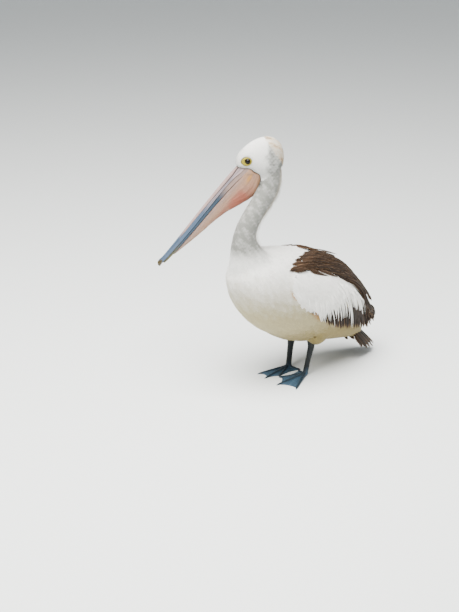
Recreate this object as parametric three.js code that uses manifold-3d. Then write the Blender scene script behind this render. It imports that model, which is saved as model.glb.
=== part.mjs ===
// A standing Australian pelican at life size, modelled as a still museum figure. Millimetres, +Z up.
// The bird faces -Y, its left side is +X, and it stands on flat soles. Its head looks a little to its
// right and its bill points down. The body is laid out from the floor point midway between the heels,
// and the last lines move the origin to the middle of the bounding box's base.
import * as THREE from "three";
import { mergeVertices } from "three/addons/utils/BufferGeometryUtils.js";
import Module from "manifold-3d";

const wasm = await Module();
wasm.setup();

// ---------------------------------------------------------------- driving dimensions
const GAP = 0.3; // clearance kept between neighbouring solids
const HEAD_TURN = 35; // degrees that the head looks to the bird's right
const BILL_PITCH = 50; // degrees that the bill points below level
const HEAD_CENTRE = [-34, -163, 838]; // middle of the skull
const NAIL_START = 500; // from the middle of the skull to the nail on the bill's tip
const EYE_RADIUS = 11;
const EYE_PLACE = [30.6, -27.5, 24.5]; // left eye in the head's own frame
const STANCE = 95; // between the middles of the two feet
const ANKLE_HEIGHT = 116;
const TARSUS_DEPTH = 24;
const TARSUS_WIDTH = 15.4;
const WEB_THICKNESS = 4;
const TOE_LENGTHS = [45, 88, 126, 120]; // hind, inner, middle and outer toe, with the claw left out
const FLIGHT_FEATHERS = 17; // shown below the coverts of each wing
const TAIL_FEATHERS = 9;

const COLOURS = {
  white: 0xe9e8e1,
  cream: 0xd8d0b4,
  buff: 0xcdbfa4,
  brown: 0x3b2c22,
  black: 0x241d19,
  pink: 0xd6b0a6,
  pouch: 0xcf9483,
  slate: 0x4d6672,
  nail: 0xc98a1e,
  eye: 0x17110d,
  leg: 0x39454b,
  foot: 0x4b6377,
};

// ---------------------------------------------------------------- solids
const vec = (x, y, z) => new THREE.Vector3(x, y, z);
const rad = THREE.MathUtils.degToRad;
const mix = THREE.MathUtils.lerp;

// Rows of numbers as one smooth curve: the row at t, from 0 at the first row to 1 at the last.
function rowAt(rows, t) {
  const place = Math.min(t, 0.999999) * (rows.length - 1);
  const i = Math.floor(place);
  const f = place - i;
  const [a, b, c, d] = [i - 1, i, i + 1, i + 2].map((k) => rows[Math.min(Math.max(k, 0), rows.length - 1)]);
  return b.map((v, k) => {
    const [p, n, q] = [a[k], c[k], d[k]];
    return v + 0.5 * f * (n - p + f * (2 * p - 5 * v + 4 * n - q + f * (3 * (v - n) + q - p)));
  });
}

// A three.js geometry as a manifold solid, with its faces turned out.
function toSolid(geometry) {
  const bare = geometry.index ? geometry.toNonIndexed() : geometry.clone();
  bare.deleteAttribute("normal");
  bare.deleteAttribute("uv");
  const merged = mergeVertices(bare, 1e-4);
  const triVerts = new Uint32Array(merged.index.array);
  const vertProperties = new Float32Array(merged.attributes.position.array);
  const solid = new wasm.Manifold(new wasm.Mesh({ numProp: 3, vertProperties, triVerts }));
  if (solid.volume() > 0) return solid;
  return new wasm.Manifold(new wasm.Mesh({ numProp: 3, vertProperties, triVerts: triVerts.reverse() }));
}

// A manifold solid as a three.js geometry. Crumbs that a cut left beside the main body are dropped.
function toGeometry(solid) {
  const main = solid.decompose().reduce((a, b) => (b.volume() > a.volume() ? b : a));
  const mesh = main.getMesh();
  const places = new Float32Array(mesh.numVert * 3);
  for (let i = 0; i < mesh.numVert; i++) {
    places.set(mesh.vertProperties.subarray(i * mesh.numProp, i * mesh.numProp + 3), i * 3);
  }
  const geometry = new THREE.BufferGeometry();
  geometry.setAttribute("position", new THREE.BufferAttribute(places, 3));
  geometry.setIndex(new THREE.BufferAttribute(new Uint32Array(mesh.triVerts), 1));
  geometry.computeVertexNormals();
  return geometry;
}

const moved = (solid, matrix) => toSolid(toGeometry(solid).applyMatrix4(matrix));
const joined = (solids) => solids.reduce((a, b) => a.add(b));

// A big block that fills what lies behind the plane through `point` whose front faces along `normal`.
function blockBehind(point, normal) {
  const size = 2400;
  const direction = vec(...normal).normalize();
  const block = new THREE.BoxGeometry(size, size, size);
  block.applyQuaternion(new THREE.Quaternion().setFromUnitVectors(vec(0, 0, 1), direction));
  const centre = vec(...point).addScaledVector(direction, -size / 2);
  return toSolid(block.translate(centre.x, centre.y, centre.z));
}

// Parts a solid at planes into lengths, first to last, with a gap at each plane.
function lengths(solid, planes) {
  const pieces = [];
  let rest = solid;
  for (const [point, normal] of planes) {
    const direction = vec(...normal).normalize();
    const step = (by) => vec(...point).addScaledVector(direction, by).toArray();
    pieces.push(rest.intersect(blockBehind(step(-GAP / 2), normal)));
    rest = rest.subtract(blockBehind(step(GAP / 2), normal));
  }
  return [...pieces, rest];
}

// Closes a stack of equal rings of points, with a pole point at each end.
function stack(rings, firstPole, lastPole) {
  const count = rings[0].length;
  const places = [firstPole, ...rings.flat(), lastPole].flatMap((p) => [p.x, p.y, p.z]);
  const last = rings.length * count + 1;
  const faces = [];
  for (let j = 0; j < count; j++) {
    const next = (j + 1) % count;
    faces.push(0, 1 + next, 1 + j);
    for (let i = 0; i + 1 < rings.length; i++) {
      const [a, b] = [1 + i * count, 1 + (i + 1) * count];
      faces.push(a + j, a + next, b + next, a + j, b + next, b + j);
    }
    faces.push(last, last - count + j, last - count + next);
  }
  const geometry = new THREE.BufferGeometry();
  geometry.setAttribute("position", new THREE.Float32BufferAttribute(places, 3));
  geometry.setIndex(faces);
  return geometry;
}

// A limb through oval rings. Each row has the centre's x, y and z, the half width, the rise to the
// back, the drop to the front, and the turn of the ring's left side to the bird's right in degrees.
function limb(rows, { steps = 20, around = 24, grow = 0 } = {}) {
  const at = (t) => vec(...rowAt(rows, Math.min(Math.max(t, 0), 1)).slice(0, 3));
  const heading = (t) => at(t + 0.01).sub(at(t - 0.01)).normalize();
  const rings = [];
  for (let i = 0; i <= steps; i++) {
    const t = i / steps;
    const [, , , half, rise, drop, turn = 0] = rowAt(rows, t);
    const left = vec(Math.cos(rad(turn)), -Math.sin(rad(turn)), 0);
    left.addScaledVector(heading(t), -left.dot(heading(t))).normalize();
    const back = heading(t).cross(left);
    const ring = [];
    for (let j = 0; j < around; j++) {
      const angle = (2 * Math.PI * j) / around;
      const height = (Math.sin(angle) > 0 ? rise : drop) + grow;
      const point = at(t).addScaledVector(left, Math.cos(angle) * (half + grow));
      ring.push(point.addScaledVector(back, Math.sin(angle) * height));
    }
    rings.push(ring);
  }
  const pole = (t, sign) => at(t).addScaledVector(heading(t), sign * (2 + grow));
  return toSolid(stack(rings, pole(0, -1), pole(1, 1)));
}

// A bar along -Y in the head's frame. The first number of a row is how far forward it lies, and
// `section` gives the right half of its outline, from the top to the bottom, as pairs of x and z.
function bar(rows, section, { steps = 24 } = {}) {
  const ring = (t) => {
    const row = rowAt(rows, t);
    const half = section(...row.slice(1));
    const mirrored = half.slice(1, -1).reverse().map(([x, z]) => [-x, z]);
    return [...half, ...mirrored].map(([x, z]) => vec(x, -row[0], z));
  };
  const rings = Array.from({ length: steps + 1 }, (_, i) => ring(i / steps));
  const middle = (points) => points.reduce((sum, p) => sum.add(p), vec(0, 0, 0)).divideScalar(points.length);
  const ends = [middle(rings[0]), middle(rings[steps])];
  ends[0].y += 0.6;
  ends[1].y -= 0.6;
  return toSolid(stack(rings, ...ends));
}

// Half an oval whose widest place is at height `mid`.
const ovalSection = (count) => (top, bottom, half, mid) =>
  Array.from({ length: count + 1 }, (_, i) => {
    const angle = (Math.PI * i) / count;
    const height = angle < Math.PI / 2 ? top - mid : mid - bottom;
    return [half * Math.sin(angle), mid + height * Math.cos(angle)];
  });

// A flat pointed feather, widest towards its tip.
function blade(root, tip, facing, width, thickness = 3) {
  const along = tip.clone().sub(root);
  const across = along.clone().cross(facing).normalize();
  const out = across.clone().cross(along).normalize();
  const ring = (t, half) =>
    [[1, 1], [-1, 1], [-1, -1], [1, -1]].map(([a, b]) =>
      root.clone().addScaledVector(along, t).addScaledVector(across, a * half)
        .addScaledVector(out, (b * thickness) / 2));
  return toSolid(stack([ring(0, width * 0.4), ring(0.76, width * 0.5)], root.clone().lerp(tip, -0.01), tip));
}

// A sheet of feathers side by side, with a pointed tip on each and a notch between two. `place` gives
// the root, the tip and the facing at t. With `grow` it is the slot that holds the sheet.
function comb(place, count, { thickness = 4, notch = 0.8, grow = 0 } = {}) {
  const rings = [];
  for (let i = 0; i <= 2 * count; i++) {
    const { root, tip, facing } = place(i / (2 * count));
    const along = tip.clone().sub(root).normalize();
    const out = facing.clone().addScaledVector(along, -facing.dot(along)).normalize();
    const edge = i % 2 || grow ? tip.clone() : root.clone().lerp(tip, notch);
    root.addScaledVector(along, -grow);
    edge.addScaledVector(along, grow);
    const [thick, thin] = [thickness / 2 + grow, thickness / 3 + grow];
    const ends = [[root, thick], [edge, thin], [edge, -thin], [root, -thick]];
    rings.push(ends.map(([point, by]) => point.clone().addScaledVector(out, by)));
  }
  const middle = (ring) => ring.reduce((sum, p) => sum.add(p), vec(0, 0, 0)).divideScalar(ring.length);
  const pole = (ring, next) => middle(ring).add(middle(ring).sub(middle(next)).setLength(4 + 2 * grow));
  return toSolid(stack(rings, pole(rings[0], rings[1]), pole(rings.at(-1), rings.at(-2))));
}

// A curved plate over rails. A row holds its top, middle and low points and its thickness.
function plate(rows, side, { steps = 10, across = 5, grow = 0 } = {}) {
  const outer = (t, v) => {
    const row = rowAt(rows, t);
    const [top, mid, low] = [0, 3, 6].map((k) => vec(row[k] * side, row[k + 1], row[k + 2]));
    const point = top.multiplyScalar((1 - v) * (1 - 2 * v));
    return point.addScaledVector(mid, 4 * v * (1 - v)).addScaledVector(low, v * (2 * v - 1));
  };
  const normal = (t, v) => {
    const [t0, t1] = [Math.max(t - 0.02, 0), Math.min(t + 0.02, 1)];
    const down = outer(t, Math.min(v + 0.05, 1)).sub(outer(t, Math.max(v - 0.05, 0)));
    return outer(t1, v).sub(outer(t0, v)).cross(down).multiplyScalar(-side).normalize();
  };
  const rings = [];
  for (let i = 0; i <= steps; i++) {
    const t = i / steps;
    const thickness = rowAt(rows, t)[9];
    const [outside, inside] = [[], []];
    for (let j = 0; j <= across; j++) {
      const v = mix(-grow / 40, 1 + grow / 40, j / across);
      const depth = thickness * (0.16 + 0.84 * Math.sqrt(Math.max(0, 1 - (2 * v - 1) ** 4)));
      outside.push(outer(t, v).addScaledVector(normal(t, v), grow));
      inside.unshift(outer(t, v).addScaledVector(normal(t, v), -depth - grow));
    }
    rings.push([...outside, ...inside]);
  }
  const middle = (t) => outer(t, 0.5).addScaledVector(normal(t, 0.5), -rowAt(rows, t)[9] / 2);
  const away = (t, from) => middle(t).add(middle(t).sub(middle(from)).setLength(2 + grow));
  return toSolid(stack(rings, away(0, 0.05), away(1, 0.95)));
}

// ---------------------------------------------------------------- trunk, neck and head
const TRUNK = [
  [0, 286, 92, 32, 13, 13],
  [0, 258, 116, 57, 42, 36],
  [0, 212, 156, 88, 90, 70],
  [0, 138, 204, 112, 132, 104],
  [0, 60, 252, 126, 162, 134],
  [0, -22, 300, 132, 175, 153],
  [0, -100, 345, 133, 168, 154],
  [0, -172, 388, 125, 141, 136],
  [0, -234, 420, 104, 104, 104],
  [0, -278, 434, 66, 66, 66],
  [0, -297, 441, 27, 28, 28],
];

const NECK = [
  [0, -110, 372, 106, 92, 130, 0],
  [0, -176, 440, 96, 70, 134, 0],
  [0, -224, 504, 68, 46, 88, 0],
  [0, -245, 556, 45, 39, 50, 0],
  [0, -238, 602, 36, 36, 39, 0],
  [-1, -206, 650, 33, 37, 35, 4],
  [-5, -166, 690, 33, 40, 36, 12],
  [-11, -135, 734, 34, 44, 41, 22],
  [-22, -126, 786, 36, 48, 46, 32],
  [-31, -144, 824, 30, 32, 34, 35],
];

// The head's own frame: -Y is along the bill, +Z is up from it, and +X is the bird's left.
const headGroup = new THREE.Group();
headGroup.position.set(...HEAD_CENTRE);
headGroup.rotation.set(rad(BILL_PITCH), 0, rad(-HEAD_TURN), "ZXY");
headGroup.updateMatrix();
const fromHead = headGroup.matrix;
const intoHead = fromHead.clone().invert();

// Forward, top, bottom, half width and the height of the widest place.
const HEAD = [
  [-84, -4, -26, 9, -14],
  [-79, 16, -40, 23, -12],
  [-64, 35, -60, 32, -12],
  [-40, 49.5, -80, 37, -10],
  [-12, 58.5, -88, 39, -6],
  [14, 62, -86, 39, -2],
  [34, 62, -76, 37.5, 3],
  [48, 59, -66, 35, 9],
  [60, 52, -54, 32, 15],
  [70, 43, -30, 28, 20],
  [78, 34, -4, 20, 22],
];

// The edge of the face feathers in side view, from the culmen down to the chin, then round the bill.
const FACE_EDGE = [
  [69, 80], [69.5, 37], [62, 25], [56, 16], [46, 5], [42, -6], [45, -13], [43.5, -21], [39.5, -34],
  [43.5, -47], [58, -62], [80, -73.5], [97, -81.5], [112, -96], [600, -96], [600, 80],
];

// The block in front of the face feathers, moved forward by `by`.
function frontOfFace(by) {
  const outline = new THREE.Shape(FACE_EDGE.map(([forward, up]) => new THREE.Vector2(forward + by, up)));
  const block = new THREE.ExtrudeGeometry(outline, { depth: 160, bevelEnabled: false });
  // The outline's x runs forward, so it turns to lie along -Y, and the depth runs along X.
  block.applyMatrix4(new THREE.Matrix4().makeBasis(vec(0, -1, 0), vec(0, 0, 1), vec(-1, 0, 0)));
  return toSolid(block.translate(80, 0, 0));
}

const headSkull = bar(HEAD, ovalSection(8), { steps: 13 });

// ---------------------------------------------------------------- bill and pouch
// Forward, ridge top, ridge half width, groove height, half width and edge height.
const UPPER_BILL = [
  [42, 34, 11, 33, 30, 14],
  [75, 36.5, 9.5, 32.5, 28, 17],
  [100, 38, 9, 29, 26.5, 21],
  [135, 38.2, 8.5, 27.8, 24.6, 22.6],
  [200, 37, 8, 27.2, 21.5, 21.4],
  [265, 35, 7.5, 26.4, 18.6, 18.2],
  [330, 32.6, 7, 25.2, 16.8, 15],
  [400, 29.2, 6.6, 23, 15.2, 13.6],
  [450, 27.6, 6.2, 21.8, 14.2, 12.8],
  [482, 27.2, 6, 21.6, 13.4, 13.4],
  [504, 28.4, 6, 22.6, 12, 14.4],
];

const upperSection = (top, ridge, groove, half, edge) => [
  [0, top],
  [ridge * 0.6, top - 0.1 * (top - groove)],
  [ridge, mix(top, groove, 0.5)],
  [ridge + 0.8, groove],
  [ridge + 2.6, groove + 0.8],
  [mix(ridge, half, 0.65), mix(groove, edge, 0.32)],
  [half, edge + 1],
  [half - 0.8, edge],
  [0, edge - 0.4],
];

// Forward, top, bottom and half width.
const LOWER_BILL = [
  [44, 13, 0, 31],
  [62, 15.5, 0.5, 29.8],
  [80, 16.8, 2, 27.4],
  [104, 20.2, 5, 25.6],
  [135, 21.8, 7, 23.8],
  [200, 20.6, 7.2, 20.8],
  [265, 17.4, 6.4, 17.8],
  [330, 14.2, 5.4, 16],
  [400, 12.8, 5, 14.4],
  [450, 12, 5.2, 13.3],
  [485, 12.7, 6.6, 12],
  [502, 13.4, 9, 9],
];

const lowerSection = (top, bottom, half) => [
  [0, top],
  [half * 0.94, top],
  [half, mix(top, bottom, 0.25)],
  [half, mix(top, bottom, 0.7)],
  [half * 0.93, bottom],
  [0, bottom],
];

const POUCH = [
  [38, 14, -48, 33.5],
  [50, 12, -58, 33],
  [64, 10, -66.5, 31.5],
  [80, 8, -75.5, 29],
  [98, 7, -80.5, 27],
  [118, 8, -78, 25.5],
  [142, 8, -72, 24],
  [175, 8, -60, 22],
  [218, 8, -43, 19.6],
  [262, 7, -32.5, 17.2],
  [306, 6, -26.5, 15.6],
  [350, 5, -20, 14.4],
  [390, 5, -13, 13.4],
  [426, 5, -6, 12],
  [458, 5.4, 0.5, 10],
];

const pouchSection = (top, bottom, half) =>
  [[0, top]].concat(
    Array.from({ length: 6 }, (_, i) => {
      const angle = (Math.PI / 2) * (i / 5);
      return [half * Math.cos(angle) ** 0.75, mix(top, bottom, 0.04 + 0.96 * Math.sin(angle))];
    }),
  );

const shifted = (rows, changes) => rows.map((row) => row.map((v, k) => v + (changes[k] ?? 0)));
const upperWhole = bar(UPPER_BILL, upperSection, { steps: 14 });
const upperGrown = bar(shifted(UPPER_BILL, [0, 1, 1, 1, 1.4, -GAP]), upperSection, { steps: 14 });
const lowerWhole = bar(LOWER_BILL, lowerSection, { steps: 14 });
const lowerGrown = bar(shifted(LOWER_BILL, [0, 1, -GAP, 1.6]), lowerSection, { steps: 14 });
const pouchWhole = bar(POUCH, pouchSection, { steps: 14 });
const front = frontOfFace(GAP);

const nailSection = ovalSection(5);
const NAIL = [
  [NAIL_START + 1, 28.6, 14, 11, 20],
  [NAIL_START + 8, 29.4, 13, 10, 20],
  [NAIL_START + 16, 28, 12, 8.4, 19],
  [NAIL_START + 21, 24.5, 11.5, 6, 17],
  [NAIL_START + 24, 20, 13, 3, 16],
];
const nail = bar(NAIL, nailSection, { steps: 5 });
const upperBody = upperWhole.intersect(front).intersect(blockBehind([0, -NAIL_START, 0], [0, -1, 0]));
const lowerBody = lowerWhole.intersect(front).subtract(upperGrown).subtract(
  bar(shifted(NAIL, [0, 1, -GAP, 1]), nailSection, { steps: 5 }));
const pouchBody = pouchWhole.intersect(front).subtract(lowerGrown).subtract(upperGrown);

const eyeball = (side, grow) => {
  const sphere = new THREE.SphereGeometry(EYE_RADIUS + grow, 12, 8);
  return toSolid(sphere.translate(EYE_PLACE[0] * side, EYE_PLACE[1], EYE_PLACE[2]));
};

const headBody = headSkull
  .subtract(frontOfFace(0))
  .subtract(eyeball(1, GAP))
  .subtract(eyeball(-1, GAP));

// ---------------------------------------------------------------- wings
// Rails from the folded wrist back to the wing's tip: top, middle and low points, then thickness.
const COVERTS = [
  [110, -140, 424, 121, -146, 396, 119, -140, 366, 12],
  [115, -112, 444, 137, -108, 398, 131, -104, 338, 18],
  [113, -52, 438, 144, -52, 368, 139, -66, 306, 22],
  [110, 3, 424, 147, 6, 348, 144, -14, 274, 24],
  [103, 60, 404, 147, 56, 324, 146, 26, 256, 24],
  [94, 110, 380, 140, 104, 306, 140, 74, 248, 22],
  [78, 180, 338, 120, 168, 276, 124, 140, 236, 20],
  [60, 238, 304, 95, 228, 252, 100, 206, 222, 16],
  [40, 292, 258, 64, 286, 224, 70, 268, 206, 11],
  [30, 330, 212, 38, 330, 192, 44, 318, 186, 6],
];

const SCAPULARS = [
  [40, 12, 478, 80, -54, 477, 112, -122, 452, 12],
  [24, 68, 462, 74, 18, 470, 115, -58, 446, 18],
  [12, 124, 434, 66, 84, 446, 112, 3, 430, 20],
  [9, 174, 402, 60, 140, 420, 99, 102, 390, 20],
  [8, 222, 360, 50, 194, 382, 80, 186, 340, 18],
  [8, 266, 316, 37, 244, 336, 58, 248, 304, 15],
  [9, 302, 276, 26, 291, 288, 37, 298, 264, 11],
  [15, 332, 236, 22, 330, 237, 28, 327, 230, 5],
];

// Loose plumes that rise off the right scapulars: root, then tip.
const RIGHT_PLUMES = [
  [-64, 92, 445, -60, 231, 397],
  [-50, 108, 442, -44, 222, 387],
];

// Where the flight feathers' tips lie, and the way that they point.
const FLIGHT_TIPS = [
  [139, -6, 240, 0.02, 0.4, -0.92],
  [136, 50, 206, 0, 0.4, -0.92],
  [130, 100, 181, -0.02, 0.42, -0.9],
  [121, 148, 167, -0.04, 0.44, -0.89],
  [110, 193, 155, -0.06, 0.46, -0.88],
  [97, 238, 142, -0.08, 0.48, -0.87],
  [82, 280, 132, -0.1, 0.5, -0.86],
  [52, 338, 134, -0.12, 0.56, -0.82],
  [28, 366, 146, -0.12, 0.6, -0.79],
];

function flightFeathers(side, grow = 0) {
  const place = (t) => {
    const [x, y, z, ...way] = rowAt(FLIGHT_TIPS, t);
    const tip = vec((x - mix(5, 0, t)) * side, y, z);
    const direction = vec(way[0] * side, way[1], way[2]).normalize();
    const root = tip.clone().addScaledVector(direction, -mix(84, 150, t));
    return { root, tip, facing: vec(side, 0.15 + 0.6 * t, 0.1) };
  };
  return comb(place, grow ? 8 : FLIGHT_FEATHERS, { thickness: 5, notch: 0.82, grow });
}

// ---------------------------------------------------------------- tail
function tailFan() {
  const place = (t) => {
    const across = 2 * t - 1;
    const root = vec(across * 36, 254 - 8 * across * across, 108 - 28 * across * across);
    const tip = vec(across * 66, 388 - 118 * across * across, 18 + 32 * across ** 4);
    return { root, tip, facing: vec(across * 1.1, 0.6, 1) };
  };
  return comb(place, TAIL_FEATHERS, { thickness: 5, notch: 0.86 });
}

// ---------------------------------------------------------------- legs and feet
const LEGS = {
  left: { side: 1, wide: 1, ankle: [47.5, 29, ANKLE_HEIGHT], toes: [-100, -25, 3, 36] },
  right: { side: -1, wide: 1.25, ankle: [-47.5, 12, ANKLE_HEIGHT], toes: [112, 30, 12, -8] },
};

const heelOf = (leg) => vec((leg.side * STANCE) / 2, 0, 0);
const toeWay = (degrees) => vec(Math.sin(rad(degrees)), -Math.cos(rad(degrees)), 0);

function thigh(leg, grow = 0) {
  const [x, y, z] = leg.ankle;
  return limb([
    [x + 6 * leg.side, y + 24, z + 70, 46, 50, 46],
    [x + 3 * leg.side, y + 18, z + 38, 39, 46, 46],
    [x + 1 * leg.side, y + 14, z + 17, 29, 36, 38],
    [x, y + 12, z + 3, 15, 24, 19],
  ], { steps: 4, around: 11, grow });
}

function shank(leg, grow = 0) {
  const [x, y, z] = leg.ankle;
  const heel = heelOf(leg);
  const half = TARSUS_DEPTH / 2;
  const thick = leg.wide * TARSUS_WIDTH / 2;
  return limb([
    [heel.x, heel.y + 2, 8, thick * 1.2, half, half + 1],
    [mix(heel.x, x, 0.14), mix(heel.y, y, 0.14), 20, thick * 1.04, half * 0.9, half * 0.9],
    [mix(heel.x, x, 0.5), mix(heel.y, y, 0.5), z * 0.52, thick, half * 0.9, half * 0.9],
    [mix(heel.x, x, 0.86), mix(heel.y, y, 0.86), z * 0.86, thick * 1.2, half * 1.06, half * 1.06],
    [x, y, z, thick * 1.55, half * 1.28, half * 1.28],
    [x, y - 6, z + 14, thick * 1.3, half * 1.05, half * 1.05],
    [x, y - 10, z + 26, thick, half * 0.85, half * 0.85],
  ], { steps: 7, around: 9, grow });
}

function foot(leg) {
  const heel = heelOf(leg);
  const tips = leg.toes.map((degrees, i) => heel.clone().addScaledVector(toeWay(degrees), TOE_LENGTHS[i]));
  const outline = new THREE.Shape();
  const back = heel.clone().addScaledVector(toeWay((leg.toes[0] + leg.toes[3]) / 2 + 180), 7);
  outline.moveTo(back.x, back.y);
  outline.lineTo(tips[0].x, tips[0].y);
  for (let i = 1; i < tips.length; i++) {
    const hollow = tips[i - 1].clone().lerp(tips[i], 0.5).lerp(heel, i === 1 ? 0.3 : 0.13);
    outline.quadraticCurveTo(hollow.x, hollow.y, tips[i].x, tips[i].y);
  }
  outline.lineTo(back.x, back.y);
  const settings = { depth: WEB_THICKNESS, bevelEnabled: false, curveSegments: 4 };
  const parts = [toSolid(new THREE.ExtrudeGeometry(outline, settings))];
  tips.forEach((tip, i) => {
    const start = heel.clone().add(vec(0, 0, 8));
    const end = tip.clone().addScaledVector(toeWay(leg.toes[i]), 3);
    const at = (t, height, half) => [mix(start.x, end.x, t), mix(start.y, end.y, t), height, half, half, half];
    const slim = i === 0 ? 0.8 : 1;
    parts.push(limb([
      at(0, 7, 7 * slim), at(0.5, 4.6, 5.6 * slim), at(1, 3.2, 3.6 * slim), at(1.09, 2, 1.2),
    ], { steps: 3, around: 6 }));
  });
  parts.push(limb([
    [heel.x, heel.y + 1, 1, 8, 10, 11], [heel.x, heel.y + 1, 9, 8, 10, 11], [heel.x, heel.y + 2, 17, 7, 9, 9],
  ], { steps: 2, around: 10 }));
  const floor = blockBehind([0, 0, 0], [0, 0, 1]);
  return joined(parts).subtract(floor);
}

// ---------------------------------------------------------------- cutting the parts to each other
const plates = {};
for (const [name, leg] of Object.entries(LEGS)) {
  const { side } = leg;
  const plumes = (side < 0 ? RIGHT_PLUMES : []).map(([x, y, z, ...tip]) =>
    blade(vec(x, y, z), vec(...tip), vec(-0.3, 0.3, 1), 22, 3));
  const scapulars = joined([plate(SCAPULARS, side), ...plumes]);
  const scapularsGrown = plate(SCAPULARS, side, { grow: 3 * GAP });
  const flight = flightFeathers(side).subtract(scapularsGrown);
  const coverts = plate(COVERTS, side).subtract(scapularsGrown).subtract(flightFeathers(side, 4 * GAP));
  plates[name] = { scapulars, coverts, flight };
}

const pelican = new THREE.Group();
pelican.add(headGroup);
function add(name, solid, colour, roughness = 0.8, parent = pelican) {
  const material = new THREE.MeshStandardMaterial({ color: colour, roughness, metalness: 0 });
  const mesh = new THREE.Mesh(toGeometry(solid), material);
  mesh.name = name;
  parent.add(mesh);
  return mesh;
}

const NECK_CUTS = [
  [[0, -236, 520], [0, -0.35, 1]],
  [[0, -222, 628], [0, 0.55, 1]],
  [[-10, -140, 742], [0, 0.3, 1]],
];
const gorge = moved(bar(shifted(POUCH, [0, 0, -GAP, GAP]), pouchSection, { steps: 14 }), fromHead);
const skullRows = shifted(HEAD, [0, GAP, -GAP, GAP, 0]);
const skullInBody = moved(bar(skullRows, ovalSection(8), { steps: 13 }), fromHead);
const trunkWhole = limb(TRUNK, { steps: 15, around: 22 });
const trunkGrown = limb(TRUNK, { steps: 15, around: 22, grow: GAP });
const neckWhole = limb(NECK, { steps: 16, around: 15 }).subtract(gorge).subtract(skullInBody);

const [neckBase, neckLower, neckMiddle, neckTop] = lengths(neckWhole, NECK_CUTS);
const legCut = (solid) =>
  Object.values(LEGS).reduce((rest, leg) => rest.subtract(thigh(leg, GAP)), solid);
const trunk = legCut(trunkWhole.add(neckBase));
const trunkKeepOut = trunkGrown.add(neckBase);

add("trunk", trunk, COLOURS.white);
add("neck_lower", neckLower.subtract(trunkGrown), COLOURS.white);
add("neck_middle", neckMiddle, COLOURS.white);
add("neck_upper", neckTop, COLOURS.white);

add("head", headBody, COLOURS.white, 0.8, headGroup);
add("eye_left", eyeball(1, 0), COLOURS.eye, 0.15, headGroup);
add("eye_right", eyeball(-1, 0), COLOURS.eye, 0.15, headGroup);
add("bill_upper", upperBody, COLOURS.pink, 0.45, headGroup);
add("bill_nail", nail, COLOURS.nail, 0.4, headGroup);
add("bill_lower", lowerBody, COLOURS.slate, 0.45, headGroup);
add("pouch", pouchBody, COLOURS.pouch, 0.6, headGroup);

for (const [name, leg] of Object.entries(LEGS)) {
  const { scapulars, coverts, flight } = plates[name];
  add(`scapulars_${name}`, scapulars.subtract(trunkKeepOut), COLOURS.brown);
  add(`coverts_${name}`, coverts.subtract(trunkKeepOut), COLOURS.white);
  add(`flight_feathers_${name}`, flight.subtract(trunkKeepOut), COLOURS.black);
  add(`thigh_${name}`, thigh(leg).subtract(shank(leg, GAP)), COLOURS.cream);
  const sole = foot(leg);
  add(`leg_${name}`, shank(leg).subtract(sole), COLOURS.leg, 0.6);
  add(`foot_${name}`, sole, COLOURS.foot, 0.6);
}
add("tail", tailFan().subtract(trunkKeepOut), COLOURS.brown);

pelican.updateMatrixWorld(true);
const box = new THREE.Box3().setFromObject(pelican, true);
const base = box.getCenter(vec(0, 0, 0)).setZ(box.min.z);
pelican.position.copy(base).negate();

export default pelican;
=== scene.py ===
"""A life-size standing Australian pelican: skin, bill, eyes, and plumage in solid tufts and vanes.

Sizes in the tables are millimetres in the bird's own frame: +X to its left, -Y forward and +Z up, with
the floor at z 0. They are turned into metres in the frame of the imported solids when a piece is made.
"""

import itertools
import math

import bmesh
import bpy
import numpy as np
from bpy.props import FloatProperty, FloatVectorProperty, PointerProperty
from mathutils import Matrix, Vector
from mathutils.bvhtree import BVHTree


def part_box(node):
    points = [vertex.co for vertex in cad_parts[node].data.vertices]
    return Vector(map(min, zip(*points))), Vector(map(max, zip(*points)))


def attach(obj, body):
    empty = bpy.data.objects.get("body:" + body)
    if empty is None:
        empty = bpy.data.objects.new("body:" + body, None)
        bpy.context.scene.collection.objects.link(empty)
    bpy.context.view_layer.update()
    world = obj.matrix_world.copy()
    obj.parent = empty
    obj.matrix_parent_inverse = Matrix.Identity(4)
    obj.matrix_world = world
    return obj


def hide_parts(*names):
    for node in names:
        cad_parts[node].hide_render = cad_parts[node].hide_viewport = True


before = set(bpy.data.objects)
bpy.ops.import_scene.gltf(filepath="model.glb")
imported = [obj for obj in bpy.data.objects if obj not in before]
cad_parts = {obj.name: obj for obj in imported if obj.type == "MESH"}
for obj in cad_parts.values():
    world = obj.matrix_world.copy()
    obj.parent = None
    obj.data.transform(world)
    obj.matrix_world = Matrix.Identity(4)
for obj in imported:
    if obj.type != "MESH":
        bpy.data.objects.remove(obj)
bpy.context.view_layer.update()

bl_info = {
    "name": "Standing pelican",
    "version": (1, 0, 0),
    "blender": (4, 5, 0),
    "location": "View3D > Sidebar > Pelican",
    "description": "Dresses the solids of a standing pelican with skin, bill, eyes and plumage",
    "category": "Add Mesh",
}

MM = 0.001
BODY = "root"

# How deep the skin lies under the plumage's surface, in mm.
BODY_DEPTH = 4.0
NECK_DEPTH = 2.8
HEAD_DEPTH = 2.2
FACE_DEPTH = 1.4


# ---------------------------------------------------------------- numbers and curves
def tone(hex_colour):
    """An sRGB hex colour as linear red, green and blue."""
    value = hex_colour.lstrip("#")
    parts = [int(value[i : i + 2], 16) / 255 for i in (0, 2, 4)]
    return np.array([c / 12.92 if c <= 0.04045 else ((c + 0.055) / 1.055) ** 2.4 for c in parts])


def ramp(low, high, x):
    """Rises smoothly from 0 at low to 1 at high."""
    t = np.clip((np.asarray(x, float) - low) / (high - low), 0, 1)
    return t * t * (3 - 2 * t)


def band(low, high, soft, x):
    """1 between low and high, falling to 0 over soft on each side."""
    return ramp(low - soft, low, x) * (1 - ramp(high, high + soft, x))


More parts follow.
